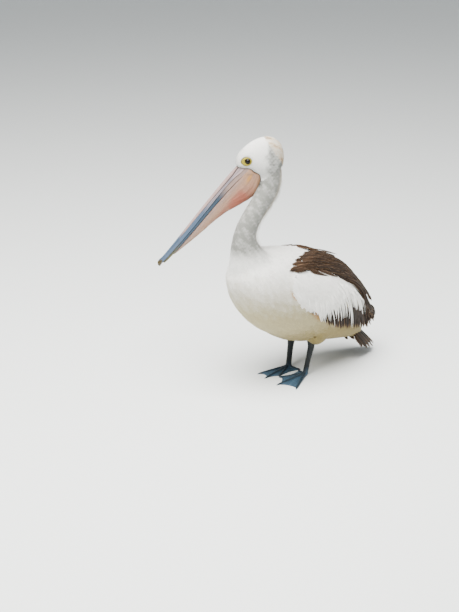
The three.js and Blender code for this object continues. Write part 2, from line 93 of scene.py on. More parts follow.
def spot(x, y, middle, radii):
    """A soft round spot: 1 at its middle and 0 well outside its radii."""
    d = ((x - middle[0]) / radii[0]) ** 2 + ((y - middle[1]) / radii[1]) ** 2
    return np.exp(-d)


def paint(under, over, share):
    """Colours under with the colour over laid on them by share."""
    share = np.clip(np.asarray(share, float), 0, 1)[..., None]
    return under * (1 - share) + np.asarray(over) * share


def unit(vectors):
    vectors = np.asarray(vectors, float)
    return vectors / np.maximum(np.linalg.norm(vectors, axis=-1, keepdims=True), 1e-9)


def row_at(rows, t):
    """Rows of numbers as one smooth curve, read at t from 0 to 1."""
    rows = np.asarray(rows, float)
    place = np.clip(np.asarray(t, float), 0, 0.999999) * (len(rows) - 1)
    i = np.floor(place).astype(int)
    f = (place - i)[..., None]
    p, v, n, q = (rows[np.clip(i + k, 0, len(rows) - 1)] for k in (-1, 0, 1, 2))
    return v + 0.5 * f * (n - p + f * (2 * p - 5 * v + 4 * n - q + f * (3 * (v - n) + q - p)))


# How many places are measured against a line at a time, which keeps the memory small.
BATCH = 20000


def nearest_step(line, points):
    """Which place of a line is nearest to each point."""
    nearest = np.empty(len(points), int)
    for start in range(0, len(points), BATCH):
        part = points[start : start + BATCH]
        nearest[start : start + BATCH] = ((part[:, None] - line[None]) ** 2).sum(2).argmin(1)
    return nearest


def turned_by(x, y, angle):
    """Places in a plane, read from axes that are turned by an angle."""
    cos, sin = math.cos(angle), math.sin(angle)
    return x * cos + y * sin, -x * sin + y * cos


def wobble(points, size, seed):
    """Smooth noise from about -1 to 1 over points, with waves about size long."""
    rng = np.random.default_rng(seed)
    total = np.zeros(len(points))
    for _ in range(6):
        way = unit(rng.normal(size=3)) * (2 * math.pi / size) * rng.uniform(0.6, 1.5)
        total += np.sin(points @ way + rng.uniform(0, 2 * math.pi))
    return total / 3


# ---------------------------------------------------------------- the bird's frames
HEAD_CENTRE = np.array([-34.0, -163.0, 838.0])
HEAD_TURN = math.radians(35)
BILL_PITCH = math.radians(50)
EYE_PLACE = np.array([30.6, -27.5, 24.5])
EYE_RADIUS = 11.0
EYE_AXIS = unit(np.array([1.0, -0.1, 0.14]))
HEAD_AXES = np.array(Matrix.Rotation(-HEAD_TURN, 3, "Z") @ Matrix.Rotation(BILL_PITCH, 3, "X"))


def from_head(points):
    """Places in the head's frame, whose +X is its left and -Y its bill, as places in the bird's frame."""
    return np.asarray(points, float) @ HEAD_AXES.T + HEAD_CENTRE


def into_head(points):
    return (np.asarray(points, float) - HEAD_CENTRE) @ HEAD_AXES


def eye_middle():
    """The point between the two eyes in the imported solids, in millimetres."""
    corners = [np.array(c) for name in ("eye_left", "eye_right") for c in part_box(name)]
    return sum(corners) / 4 / MM


SHIFT = eye_middle() - from_head([0, EYE_PLACE[1], EYE_PLACE[2]])


def to_row(points):
    return (np.asarray(points, float) + SHIFT) * MM


def to_bird(points):
    return np.asarray(points, float) / MM - SHIFT


# Middle line from the skull down the neck and along the trunk to the tail.
SPINE = np.array(
    [[-62, -203, 790], [-34, -163, 838], [-31, -144, 824], [-22, -126, 786], [-11, -135, 734],
     [-5, -166, 690], [-1, -206, 650], [0, -238, 602], [0, -245, 556], [0, -224, 504], [0, -176, 440],
     [0, -100, 365], [0, -22, 306], [0, 60, 256], [0, 138, 206], [0, 212, 158], [0, 272, 120],
     [0, 330, 90]], float
)  # fmt: skip

# Where the feathers point: a place, then a direction. A feather follows the guides nearest to it.
NECK_GUIDES = [(SPINE[i], SPINE[i + 1] - SPINE[i]) for i in range(2, 10)]
TRUNK_GUIDES = [
    ((0, -176, 440), (0, 0.55, -0.83)),
    ((0, -290, 430), (0, 0.5, -0.85)),
    ((0, -230, 330), (0, 0.62, -0.78)),
    ((0, -100, 250), (0, 0.8, -0.6)),
    ((0, 20, 180), (0, 0.9, -0.42)),
    ((0, 140, 130), (0, 0.95, -0.3)),
    ((0, 250, 100), (0, 0.95, -0.3)),
    ((110, -150, 330), (0.05, 0.5, -0.86)),
    ((-110, -150, 330), (-0.05, 0.5, -0.86)),
    ((110, -40, 260), (0, 0.45, -0.89)),
    ((-110, -40, 260), (0, 0.45, -0.89)),
    ((0, -120, 490), (0, 0.95, -0.3)),
    ((0, -20, 470), (0, 0.95, -0.3)),
    ((0, 100, 425), (0, 0.88, -0.47)),
    ((0, 220, 350), (0, 0.8, -0.6)),
    ((0, 300, 250), (0, 0.6, -0.8)),
]
HEAD_GUIDES = [
    (from_head((0, -70, 30)), HEAD_AXES @ np.array([0, 0.7, 0.7])),
    (from_head((0, -30, 60)), HEAD_AXES @ np.array([0, 1, 0.15])),
    (from_head((0, 20, 58)), HEAD_AXES @ np.array([0, 1, -0.35])),
    (from_head((40, -30, 0)), HEAD_AXES @ np.array([0, 0.96, -0.25])),
    (from_head((-40, -30, 0)), HEAD_AXES @ np.array([0, 0.96, -0.25])),
    (from_head((38, -45, 40)), HEAD_AXES @ np.array([0, 0.9, 0.45])),
    (from_head((-38, -45, 40)), HEAD_AXES @ np.array([0, 0.9, 0.45])),
    (from_head((30, -40, -40)), HEAD_AXES @ np.array([0, 0.8, -0.6])),
    (from_head((-30, -40, -40)), HEAD_AXES @ np.array([0, 0.8, -0.6])),
    (from_head((38, 20, -20)), HEAD_AXES @ np.array([0, 0.75, -0.65])),
    (from_head((-38, 20, -20)), HEAD_AXES @ np.array([0, 0.75, -0.65])),
    (from_head((0, 70, 20)), np.array([0.35, 0.75, -0.6])),
]
WING_GUIDES = [
    ((118, -120, 410), (0, 0.62, -0.78)),
    ((125, -100, 350), (0, 0.5, -0.87)),
    ((140, -40, 400), (0, 0.66, -0.75)),
    ((145, -30, 320), (0, 0.45, -0.89)),
    ((140, 60, 350), (0, 0.6, -0.8)),
    ((145, 60, 280), (0, 0.45, -0.89)),
    ((130, 140, 310), (0, 0.58, -0.82)),
    ((110, 220, 260), (0, 0.55, -0.83)),
    ((60, 290, 230), (0, 0.55, -0.83)),
]
WING_GUIDES = WING_GUIDES + [((-x, y, z), way) for (x, y, z), way in WING_GUIDES]
SCAPULAR_GUIDES = [
    ((90, -60, 470), (-0.12, 0.95, -0.1)),
    ((60, 40, 465), (-0.1, 0.97, -0.2)),
    ((60, 130, 420), (-0.1, 0.9, -0.42)),
    ((45, 200, 375), (-0.12, 0.82, -0.56)),
    ((35, 270, 310), (-0.08, 0.66, -0.74)),
    ((22, 330, 240), (-0.02, 0.5, -0.86)),
]
SCAPULAR_GUIDES = SCAPULAR_GUIDES + [((-x, y, z), (-a, b, c)) for (x, y, z), (a, b, c) in SCAPULAR_GUIDES]


def lie(guides):
    """A function that gives the way the feathers lie at points, from the guides near them."""
    places = np.array([g[0] for g in guides], float)
    ways = unit(np.array([g[1] for g in guides], float))

    def way_at(points):
        gap = ((points[:, None] - places[None]) ** 2).sum(2)
        weight = 1 / (gap + 900.0) ** 2
        return unit((weight[..., None] * ways[None]).sum(1))

    return way_at


# How many mm beyond the middle line's ends make one more length of the map.
MAP_LENGTH = 1500


def unwrap(points):
    """Places round and along the middle line, both from 0 to 1: the skin slit along its underside."""
    steps = np.linspace(0, 1, 160)
    line = row_at(SPINE, steps)
    nearest = nearest_step(line, points)
    ahead = unit(np.gradient(line, axis=0))[nearest]
    left = unit(np.cross(ahead, np.cross((1.0, 0, 0), ahead)))
    top = np.cross(left, ahead)
    off = points - line[nearest]
    angle = np.arctan2((off * left).sum(1), (off * top).sum(1))
    depth = (off * ahead).sum(1)
    return np.stack([angle / (2 * math.pi) + 0.5, steps[nearest] + depth / MAP_LENGTH], 1)


# ---------------------------------------------------------------- meshes and materials
def raw_mesh(name, points, groups):
    """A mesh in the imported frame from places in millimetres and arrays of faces."""
    mesh = bpy.data.meshes.new(name)
    corners = np.concatenate([g.ravel() for g in groups]).astype(np.int32)
    counts = np.concatenate([np.full(len(g), g.shape[1]) for g in groups])
    mesh.vertices.add(len(points))
    mesh.vertices.foreach_set("co", to_row(points).astype(np.float32).ravel())
    mesh.loops.add(len(corners))
    mesh.loops.foreach_set("vertex_index", corners)
    mesh.polygons.add(len(counts))
    mesh.polygons.foreach_set("loop_start", (np.cumsum(counts) - counts).astype(np.int32))
    mesh.update(calc_edges=True)
    mesh.validate()
    return mesh


def note(mesh, name, values):
    """Keeps a colour or three numbers for each vertex, for the materials to read."""
    values = np.asarray(values, np.float32)
    if name == "tone":
        layer = mesh.color_attributes.new(name, "FLOAT_COLOR", "POINT")
        solid = np.ones(len(values), np.float32)
        layer.data.foreach_set("color", np.column_stack([values, solid]).ravel())
    else:
        layer = mesh.attributes.new(name, "FLOAT_VECTOR", "POINT")
        layer.data.foreach_set("vector", values.ravel())


def ring_faces(rings, rounds):
    """Squares between neighbouring rings of places, each ring closed."""
    index = np.arange(rings * rounds).reshape(rings, rounds)
    turned = np.roll(index, -1, 1)
    return np.stack([index[:-1], turned[:-1], turned[1:], index[1:]], -1).reshape(-1, 4)


def ring_faces_inward(rings, rounds):
    """The same squares, facing the other way."""
    return ring_faces(rings, rounds)[:, [0, 3, 2, 1]]


def end_fans(rings, rounds):
    """Triangles that close the first and the last ring at two more places, which follow the rings."""
    first = np.arange(rounds)
    last = first + (rings - 1) * rounds
    start, end = np.full(rounds, rings * rounds), np.full(rounds, rings * rounds + 1)
    return np.concatenate([
        np.stack([first, start, np.roll(first, -1)], -1),
        np.stack([np.roll(last, -1), end, last], -1),
    ])


def add_piece(name, mesh, materials, replaced=(), smooth=True):
    """Puts a finished mesh in the scene as a piece of the bird."""
    for material in materials:
        mesh.materials.append(material)
    mesh.polygons.foreach_set("use_smooth", np.full(len(mesh.polygons), smooth))
    piece = bpy.data.objects.new(name, mesh)
    bpy.context.scene.collection.objects.link(piece)
    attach(piece, BODY)
    if replaced:
        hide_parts(*replaced)
    return piece


def plug(tree, target, **inputs):
    """Sets a node's own inputs to values, or links them to the sockets that feed them.

    An input is named with _ for each space, or by i and its number."""
    for key, value in inputs.items():
        socket = target.inputs[int(key[1:])] if key[1:].isdigit() else target.inputs[key.replace("_", " ")]
        if isinstance(value, bpy.types.NodeSocket):
            tree.links.new(value, socket)
        else:
            socket.default_value = value


def node(tree, kind, settings=None, **inputs):
    """Adds a node with its settings and its inputs."""
    made = tree.nodes.new(kind)
    for key, value in (settings or {}).items():
        setattr(made, key, value)
    plug(tree, made, **inputs)
    return made


def new_material(name):
    material = bpy.data.materials.new(name)
    material.use_nodes = True
    tree = material.node_tree
    return material, tree, tree.nodes["Principled BSDF"]


def shaded(tree, colour, dark, light, share):
    """Colour times a grey between dark and light, by share."""
    grey = node(tree, "ShaderNodeMapRange", None, Value=share, To_Min=dark, To_Max=light).outputs[0]
    scaled = node(tree, "ShaderNodeVectorMath", {"operation": "SCALE"}, i0=colour, Scale=grey)
    return scaled.outputs["Vector"]


def feather_material(name, roughness, fringe, streak, sheen, soft, shine):
    """Keratin barbs lying side by side: dull, a little silky, and streaked along each vane.

    The streaks are about a millimetre wide, coarser than real barbs so that they show."""
    material, tree, shader = new_material(name)
    colour = node(tree, "ShaderNodeAttribute", {"attribute_name": "tone"}).outputs["Color"]
    vane = node(tree, "ShaderNodeAttribute", {"attribute_name": "vane"}).outputs["Vector"]
    parts = node(tree, "ShaderNodeSeparateXYZ", None, Vector=vane).outputs
    off = node(tree, "ShaderNodeMath", {"operation": "ABSOLUTE"}, i0=parts[0]).outputs[0]
    slope = node(tree, "ShaderNodeCombineXYZ", None, X=off, Y=parts[1], Z=parts[2]).outputs[0]
    # Waves over half a vane's width, along its length, and from one feather to the next.
    waves = (5.0, streak, 31.0)
    tilted = node(tree, "ShaderNodeMapping", None, Vector=slope, Scale=waves, Rotation=(0, 0, 0.6)).outputs[0]
    barbs = node(tree, "ShaderNodeTexNoise", None, Vector=tilted, Scale=1.0, Detail=3.0).outputs[0]
    streaked = shaded(tree, colour, 1 - fringe, 1 + fringe * 0.6, barbs)
    bump = node(tree, "ShaderNodeBump", None, Height=barbs, Distance=0.5 * MM, Strength=0.6)
    plug(tree, shader, Base_Color=streaked, Normal=bump.outputs["Normal"], Roughness=roughness,
         Specular_IOR_Level=shine, Sheen_Weight=sheen, Sheen_Roughness=0.45, Subsurface_Weight=soft,
         Subsurface_Radius=(0.005, 0.005, 0.005), Subsurface_Scale=1.0)  # fmt: skip
    return material


def skin_material(name, roughness, grain_mm, depth_mm, soft=0.0, shine=0.4):
    """Bare skin: fine grain and creases, the creases painted a little darker as shade, with a little light
    passing under the surface.
    """
    material, tree, shader = new_material(name)
    colour = node(tree, "ShaderNodeAttribute", {"attribute_name": "tone"}).outputs["Color"]
    place = node(tree, "ShaderNodeTexCoord").outputs["Object"]
    cells = node(tree, "ShaderNodeTexVoronoi", {"feature": "DISTANCE_TO_EDGE"}, Vector=place,
                 Scale=1 / (grain_mm * MM)).outputs[0]  # fmt: skip
    creases = node(tree, "ShaderNodeMapRange", None, Value=cells, From_Max=0.12).outputs[0]
    # Clouds of about 11 mm.
    cloud = node(tree, "ShaderNodeTexNoise", None, Vector=place, Scale=90.0, Detail=5.0).outputs[0]
    mottled = shaded(tree, colour, 0.78, 1.2, cloud)
    # Painted shade: the creases are painted up to 7% darker.
    wear_and_crease_shade = shaded(tree, mottled, 0.93, 1.0, creases)
    bump = node(tree, "ShaderNodeBump", None, Height=creases, Distance=depth_mm * MM, Strength=0.7)
    plug(tree, shader, Base_Color=wear_and_crease_shade, Normal=bump.outputs["Normal"], Roughness=roughness,
         Specular_IOR_Level=shine, Subsurface_Weight=soft, Subsurface_Radius=(0.006, 0.003, 0.002),
         Subsurface_Scale=1.0)  # fmt: skip
    return material


def horn_material(name, roughness, coat):
    """Bill horn: hard keratin with fine scratches and flakes along the bill, and a dull gloss."""
    material, tree, shader = new_material(name)
    colour = node(tree, "ShaderNodeAttribute", {"attribute_name": "tone"}).outputs["Color"]
    along = node(tree, "ShaderNodeAttribute", {"attribute_name": "vane"}).outputs["Vector"]
    # Scratches of about 1 mm across and 17 mm along the bill, and clouds of about 18 mm.
    stretched = node(tree, "ShaderNodeMapping", None, Vector=along, Scale=(900.0, 60.0, 900.0)).outputs[0]
    grain = node(tree, "ShaderNodeTexNoise", None, Vector=stretched, Scale=1.0, Detail=4.0).outputs[0]
    cloud = node(tree, "ShaderNodeTexNoise", None, Vector=along, Scale=55.0, Detail=4.0).outputs[0]
    grained = shaded(tree, colour, 0.84, 1.14, grain)
    clouded = shaded(tree, grained, 0.85, 1.15, cloud)
    bump = node(tree, "ShaderNodeBump", None, Height=grain, Distance=0.35 * MM, Strength=0.6)
    rough = node(tree, "ShaderNodeMapRange", None, Value=cloud, To_Min=roughness - 0.08,
                 To_Max=roughness + 0.1)  # fmt: skip
    plug(tree, shader, Base_Color=clouded, Normal=bump.outputs["Normal"], Roughness=rough.outputs[0],
         IOR=1.54, Specular_IOR_Level=0.3, Coat_Weight=coat, Coat_Roughness=0.25)  # fmt: skip
    return material


def eye_material():
    """A wet eye: dark iris under a clear, very smooth cornea."""
    material, tree, shader = new_material("wet_eye")
    colour = node(tree, "ShaderNodeAttribute", {"attribute_name": "tone"}).outputs["Color"]
    vane = node(tree, "ShaderNodeAttribute", {"attribute_name": "vane"}).outputs["Vector"]
    rays = node(tree, "ShaderNodeMapping", None, Vector=vane, Scale=(14.0, 1.5, 1.0)).outputs[0]
    fibres = node(tree, "ShaderNodeTexNoise", None, Vector=rays, Scale=1.0, Detail=4.0).outputs[0]
    plug(tree, shader, Base_Color=shaded(tree, colour, 0.6, 1.5, fibres), Roughness=0.12, IOR=1.34,
         Specular_IOR_Level=0.1, Coat_Weight=0.25, Coat_Roughness=0.03)  # fmt: skip
    return material


MATERIALS = {}


def finish_of(name):
    """The material of that name, made once."""
    makers = {
        # Dull skin that shows only in gaps between the feathers.
        "plumage_skin": lambda: skin_material("plumage_skin", roughness=0.8, grain_mm=3.0, depth_mm=0.4),
        # Thin smooth skin that lets a little light through.
        "pouch_skin": lambda: skin_material("pouch_skin", roughness=0.5, grain_mm=2.6, depth_mm=0.15,
                                            soft=0.15),
        # Tight scaly skin with a dull shine.
        "leg_skin": lambda: skin_material("scaled_leg_skin", roughness=0.42, grain_mm=3.2, depth_mm=0.5,
                                          shine=0.2),
        # Fine-grained bare skin.
        "eyelid_skin": lambda: skin_material("eyelid_skin", roughness=0.5, grain_mm=1.6, depth_mm=0.2),
        # Clean feathers: faint streaks, and light that passes through the barbs.
        "white_barbs": lambda: feather_material("white_barbs", roughness=0.8, fringe=0.08, streak=6.0,
                                                sheen=0.12, soft=0.35, shine=0.3),
        # Worn dark feathers: strong streaks and hardly any shine.
        "brown_barbs": lambda: feather_material("brown_barbs", roughness=0.7, fringe=0.5, streak=22.0,
                                                sheen=0.03, soft=0.0, shine=0.14),
        # Worn horn, and the harder, glossier horn of the nail.
        "bill_horn": lambda: horn_material("bill_horn", roughness=0.45, coat=0.08),
        "nail_horn": lambda: horn_material("nail_horn", roughness=0.36, coat=0.25),
        "eye": eye_material,
    }  # fmt: skip
    if name not in MATERIALS:
        MATERIALS[name] = makers[name]()
    return MATERIALS[name]


# ---------------------------------------------------------------- markings, with painted shade and light, shared by skin and coat
COLOURS = {
    "white": "#F8F7F3",
    # The belly's two creams: a real stain, painted darker as shade on the underside.
    "cream": "#9A8C5B",
    "straw_and_underside_shade": "#786734",
    "ochre": "#A9793F",
    "neck_grey": "#5F605A",
    "cream_fuzz": "#F2EADB",
    "buff": "#D8BE98",
    "rust": "#9A7A5A",
    "brown": "#291C12",
    "brown_edge": "#7A5D42",
    "black": "#19110C",
    "tail_brown": "#2A2017",
    "bill_pink": "#947D79",
    "bill_pale": "#746C71",
    "bill_blue": "#384B61",
    "slate": "#273848",
    # groove: near-black, for painted shade in the bill's groove and gape and round the eye.
    "groove": "#0D0A0A",
    # edge: dark, for a real smear on the pouch and for painted shade along the feather line.
    "edge": "#4A4039",
    "gold": "#3B2F08",
    "olive": "#57532C",
    "pouch": "#987863",
    "salmon": "#955644",
    "yellow": "#84780F",
    "leg": "#111618",
    "foot": "#33495A",
    "iris": "#120A07",
    "pupil": "#040302",
    "eye_rim": "#0A0605",
}
TONES = {name: tone(value) for name, value in COLOURS.items()}


def plumage_tone(points):
    """The plumage's colour at places in the bird's frame, with painted shade on the underside and face and a
    painted rim light down the back of the neck.
    """
    x, y, z = points.T
    head = into_head(points)
    _, back, up = head.T
    colours = np.tile(TONES["white"], (len(points), 1))
    blotch = wobble(points, 26, 5)
    fine = wobble(points, 11, 8)
    # Breast and belly grow creamier and darker towards the vent: a real cream stain, made darker still as
    # painted shade on the underside.
    low = ramp(490, 270, z + 14 * blotch + 0.12 * (y + 150))
    colours = paint(colours, TONES["cream"], 0.92 * low)
    vent = ramp(270, 165, z - 0.14 * (y - 60) + 12 * blotch)
    colours = paint(colours, TONES["straw_and_underside_shade"], 0.85 * vent)
    rump = ramp(190, 225, y) * ramp(-8, 22, z - np.interp(y, (190, 290), (190, 112)))
    colours = paint(colours, TONES["white"], 0.9 * rump)
    # Stained edge where the wing's front meets the flank.
    stain = np.exp(-(((z - (345 - 0.93 * (y + 100))) / 11) ** 2)) * band(-128, -20, 30, y) * (np.abs(x) > 90)
    colours = paint(colours, TONES["ochre"], 0.95 * stain)
    # The neck is grey with pale mottling, paler in front, and its grey fades towards the back of the neck as
    # a painted rim light.
    on_neck = ramp(480, 550, z) * (np.linalg.norm(head / (70, 95, 80), axis=1) > 1)
    grey = on_neck * (0.86 + 0.1 * blotch + 0.07 * fine) * (1 - 0.6 * ramp(0.55, 0.95, hind_share(points)))
    colours = paint(colours, TONES["neck_grey"], np.clip(grey, 0, 0.9))
    # Head: white face, grey cheek behind the eye, buff nape.
    on_head = 1 - on_neck
    skull = on_head * (z > 640)
    behind_eye = ramp(38, 68, back - 1.35 * up + 6 * blotch)
    jaw = ramp(14, 30, back - 0.2 * up) * ramp(-4, -16, up) * 0.8
    cheek = skull * np.maximum(behind_eye, jaw) * (0.66 + 0.14 * fine + 0.12 * blotch)
    colours = paint(colours, TONES["neck_grey"], np.clip(cheek, 0, 0.95))
    # Painted shade: the face is greyed a little towards the bill.
    colours = paint(colours, TONES["neck_grey"], 0.3 * skull * ramp(-10, 40, -back))
    nape = (z > 620) * ramp(56, 76, back - 0.2 * up)
    colours = paint(colours, TONES["buff"], 0.6 * nape * (0.8 + 0.5 * blotch))
    hind = (z > 560) * (z < 800) * ramp(0.35, 0.95, hind_share(points))
    colours = paint(colours, TONES["buff"], 0.45 * hind)
    return np.clip(colours * (1 + 0.02 * fine[:, None]), 0, 1)


def hind_share(points):
    """How far round to the back of the neck a place lies, from 0 to 1."""
    line = row_at(SPINE[2:10], np.linspace(0, 1, 60))
    nearest = nearest_step(line, points)
    off = unit(points - line[nearest])
    ahead = unit(np.gradient(line, axis=0))[nearest]
    behind = unit(np.cross(np.cross(ahead, (0.0, 1, 0.2)), ahead))
    return np.clip((off * behind).sum(1), 0, 1)


def pouch_tone(head):
    """The pouch's colour at places in the head's frame, with painted shade along a fold and at the feather
    line.
    """
    ahead, up = -head[:, 1], head[:, 2]
    colours = np.tile(TONES["pouch"], (len(head), 1))
    blotch = wobble(head, 40, 3)
    colours = paint(colours, TONES["ochre"], 0.16 * ramp(120, 70, ahead) * (1 + blotch))
    low_edge = ramp(-14, -30, up + 0.06 * (ahead - 200))
    salmon = spot(ahead, up, (140, -50), (48, 28)) + 0.8 * low_edge * band(150, 330, 40, ahead)
    colours = paint(colours, TONES["salmon"], 0.8 * salmon * (0.9 + 0.2 * blotch))
    colours = paint(colours, TONES["bill_pale"], 0.4 * ramp(-16, 2, up) * ramp(60, 120, ahead))
    streak = spot(ahead + 1.4 * (up + 19), up, (70, -19), (15, 6))
    colours = paint(colours, TONES["ochre"], np.clip(1.5 * streak, 0, 0.95))
    colours = paint(colours, TONES["edge"], 0.45 * spot(ahead - 0.8 * (up + 14), up, (58, -14), (6, 13)))
    # Painted shade: a thin darker line along a fold of the pouch.
    painted_fold_shade = np.exp(-(((up + 30 + 0.35 * (ahead - 60)) / 1.6) ** 2)) * band(60, 120, 14, ahead)
    colours = paint(colours, TONES["salmon"] * 0.5, 0.35 * painted_fold_shade)
    # Painted shade: the pouch darkens within a few mm of the feather line, under the feathers' edge.
    edge = edge_gap(ahead, up)
    colours = paint(colours, TONES["edge"], 0.75 * ramp(3.6, 0.6, edge) * ramp(-86, -60, up))
    return colours


def leg_tone(points):
    """The leg and foot colour at places in the bird's frame."""
    cloud = wobble(points, 22, 12)
    colours = np.tile(TONES["foot"], (len(points), 1)) * (1 + 0.14 * cloud[:, None])
    colours = paint(colours, TONES["leg"], 0.75 * toe_share(points))
    return paint(colours, TONES["leg"], ramp(10, 40, points[:, 2]))


# The line where the face's feathers meet the bare bill and pouch: forward, up.
FACE_EDGE = np.array(
    [[69, 80], [69.5, 37], [62, 25], [56, 16], [46, 5], [42, -6], [45, -13], [43.5, -21], [39.5, -34],
     [43.5, -47], [58, -62], [80, -73.5], [97, -81.5], [112, -96]], float
)  # fmt: skip


def edge_gap(ahead, up):
    """Distance from a place in the head's side view to the line where the feathers end."""
    a, b = FACE_EDGE[:-1], FACE_EDGE[1:]
    place = np.stack([ahead, up], -1)[:, None]
    t = np.clip(((place - a) * (b - a)).sum(2) / ((b - a) ** 2).sum(1), 0, 1)
    return np.linalg.norm(place - (a + t[..., None] * (b - a)), axis=2).min(1)


def in_front_of_face(ahead, up):
    """True where a place in the head's side view lies on the bare side of the feather line."""
    heights = FACE_EDGE[::-1, 1]
    line = np.interp(up, heights, FACE_EDGE[::-1, 0])
    return ahead > line


# ---------------------------------------------------------------- skin
FEATHERED = ["trunk", "neck_lower", "neck_middle", "neck_upper", "head", "thigh_left", "thigh_right",
             "coverts_left", "coverts_right", "scapulars_left", "scapulars_right"]  # fmt: skip
LEG_NODES = ["leg_left", "foot_left", "leg_right", "foot_right"]
STORE = {}


def node_arrays(name, mirrored=False):
    """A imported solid's places in millimetres and its triangles, with its corners joined."""
    shape = bmesh.new()
    shape.from_mesh(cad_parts[name].data)
    bmesh.ops.remove_doubles(shape, verts=shape.verts, dist=1e-6)
    bmesh.ops.triangulate(shape, faces=shape.faces)
    points = to_bird([v.co for v in shape.verts])
    faces = np.array([[v.index for v in f.verts] for f in shape.faces])
    shape.free()
    if mirrored:
        points = points * (-1, 1, 1)
        faces = faces[:, ::-1]
    return points, faces


def vertex_normals(points, faces):
    a, b, c = (points[faces[:, i]] for i in (0, 1, 2))
    normal = np.cross(b - a, c - a)
    total = np.zeros_like(points)
    for k in range(faces.shape[1]):
        for axis in range(3):
            total[:, axis] += np.bincount(faces[:, k], normal[:, axis], len(points))
    return unit(total)


def edge_pairs(faces):
    """The two ends of each edge."""
    following = np.roll(faces, -1, 1)
    pairs = np.stack([faces.ravel(), following.ravel()], 1)
    return np.unique(np.sort(pairs, 1), axis=0)


def smoothed(values, pairs, rounds, share=0.5):
    """Values over a mesh's vertices, each drawn towards the mean of its neighbours."""
    values = np.array(values, float)
    flat = values.reshape(len(values), -1)
    count = np.bincount(pairs.ravel(), minlength=len(flat))[:, None]
    for _ in range(rounds):
        total = np.zeros_like(flat)
        for axis in range(flat.shape[1]):
            total[:, axis] = np.bincount(pairs[:, 0], flat[pairs[:, 1], axis], len(flat))
            total[:, axis] += np.bincount(pairs[:, 1], flat[pairs[:, 0], axis], len(flat))
        flat += share * (total / np.maximum(count, 1) - flat)
    return flat.reshape(values.shape)


def fused(solids, voxel, swells):
    """Solids that meet, each swollen a little, fused into one even mesh of squares voxel mm across."""
    points, faces, start = [], [], 0
    for (place, tris), swell in zip(solids, swells):
        grown = place + vertex_normals(place, tris) * swell
        points.append(grown)
        faces.append(tris + start)
        start += len(place)
    mesh = raw_mesh("fusing", np.concatenate(points), [np.concatenate(faces)])
    thing = bpy.data.objects.new("fusing", mesh)
    bpy.context.scene.collection.objects.link(thing)
    remesh = thing.modifiers.new("even", "REMESH")
    remesh.mode = "VOXEL"
    remesh.voxel_size = voxel * MM
    done = bpy.data.meshes.new_from_object(thing.evaluated_get(bpy.context.evaluated_depsgraph_get()))
    place = np.empty(len(done.vertices) * 3, np.float32)
    done.vertices.foreach_get("co", place)
    corners = np.empty(len(done.loops), np.int32)
    done.loops.foreach_get("vertex_index", corners)
    bpy.data.objects.remove(thing)
    bpy.data.meshes.remove(mesh)
    bpy.data.meshes.remove(done)
    return to_bird(place.reshape(-1, 3)), corners.reshape(-1, 4)


def nearest_names(points, solids):
    """The name of the solid nearest to each place."""
    names = list(solids)
    all_points = np.concatenate([solids[n][0] for n in names])
    starts = np.cumsum([0] + [len(solids[n][0]) for n in names])
    faces = np.concatenate([solids[n][1] + starts[i] for i, n in enumerate(names)])
    owner = np.concatenate([np.full(len(solids[n][1]), i) for i, n in enumerate(names)])
    tree = BVHTree.FromPolygons(all_points.tolist(), faces.tolist())
    found = np.array([tree.find_nearest(p)[2] for p in points.tolist()])
    return np.array(names)[owner[found]]


class Hide:
    """The feathered skin as a surface to root feathers in and to lay them over."""

    def __init__(self, points, faces, labels):
        self.points, self.faces = points, faces
        self.normals = vertex_normals(points, faces[:, [0, 1, 2]])
        self.tree = BVHTree.FromPolygons(points.tolist(), faces.tolist())
        self.labels = labels

    def nearest(self, places):
        found = [self.tree.find_nearest(p) for p in places.tolist()]
        spots = np.array([f[0] for f in found])
        index = np.array([f[2] for f in found])
        return spots, unit(self.normals[self.faces[index]].mean(1))

    def scatter(self, chosen, spacing, seed):
        """Evenly spread random places on the chosen faces, about spacing apart."""
        rng = np.random.default_rng(seed)
        a, b, c, d = (self.points[self.faces[chosen, i]] for i in range(4))
        area = np.linalg.norm(np.cross(c - a, d - b), axis=1) / 2
        count = int(area.sum() / spacing**2 * 3.2)
        pick = rng.choice(len(a), count, p=area / area.sum())
        u, v = rng.random((2, count, 1))
        tries = (a[pick] * (1 - u) + b[pick] * u) * (1 - v) + (d[pick] * (1 - u) + c[pick] * u) * v
        cells = np.floor(tries / spacing).astype(int).tolist()
        kept, filled = [], {}
        near = list(itertools.product((-1, 0, 1), repeat=3))
        square = spacing**2
        for n, (p, (i, j, k)) in enumerate(zip(tries.tolist(), cells)):
            clear = True
            for di, dj, dk in near:
                q = filled.get((i + di, j + dj, k + dk))
                if q and (p[0] - q[0]) ** 2 + (p[1] - q[1]) ** 2 + (p[2] - q[2]) ** 2 < square:
                    clear = False
                    break
            if clear:
                filled[(i, j, k)] = p
                kept.append(n)
        return tries[kept]


# The bare oval round the eye, seen from the side: half its long and short ways, its middle from the
# eye's, and how it leans.
OVAL_REACH = (18.5, 15.4)
OVAL_OFFSET = (4.4, 3.4)
OVAL_LEAN = math.radians(38)
LID_RADIUS = 9.7


# The lid's rolled margin, from inside the eye's surface out over it: how far each ring lies out from
# the lid's edge and up from the eye's surface.
LID_ROLL = ((-0.5, -0.9), (0.0, 0.7), (0.7, 1.0), (1.5, 0.6))


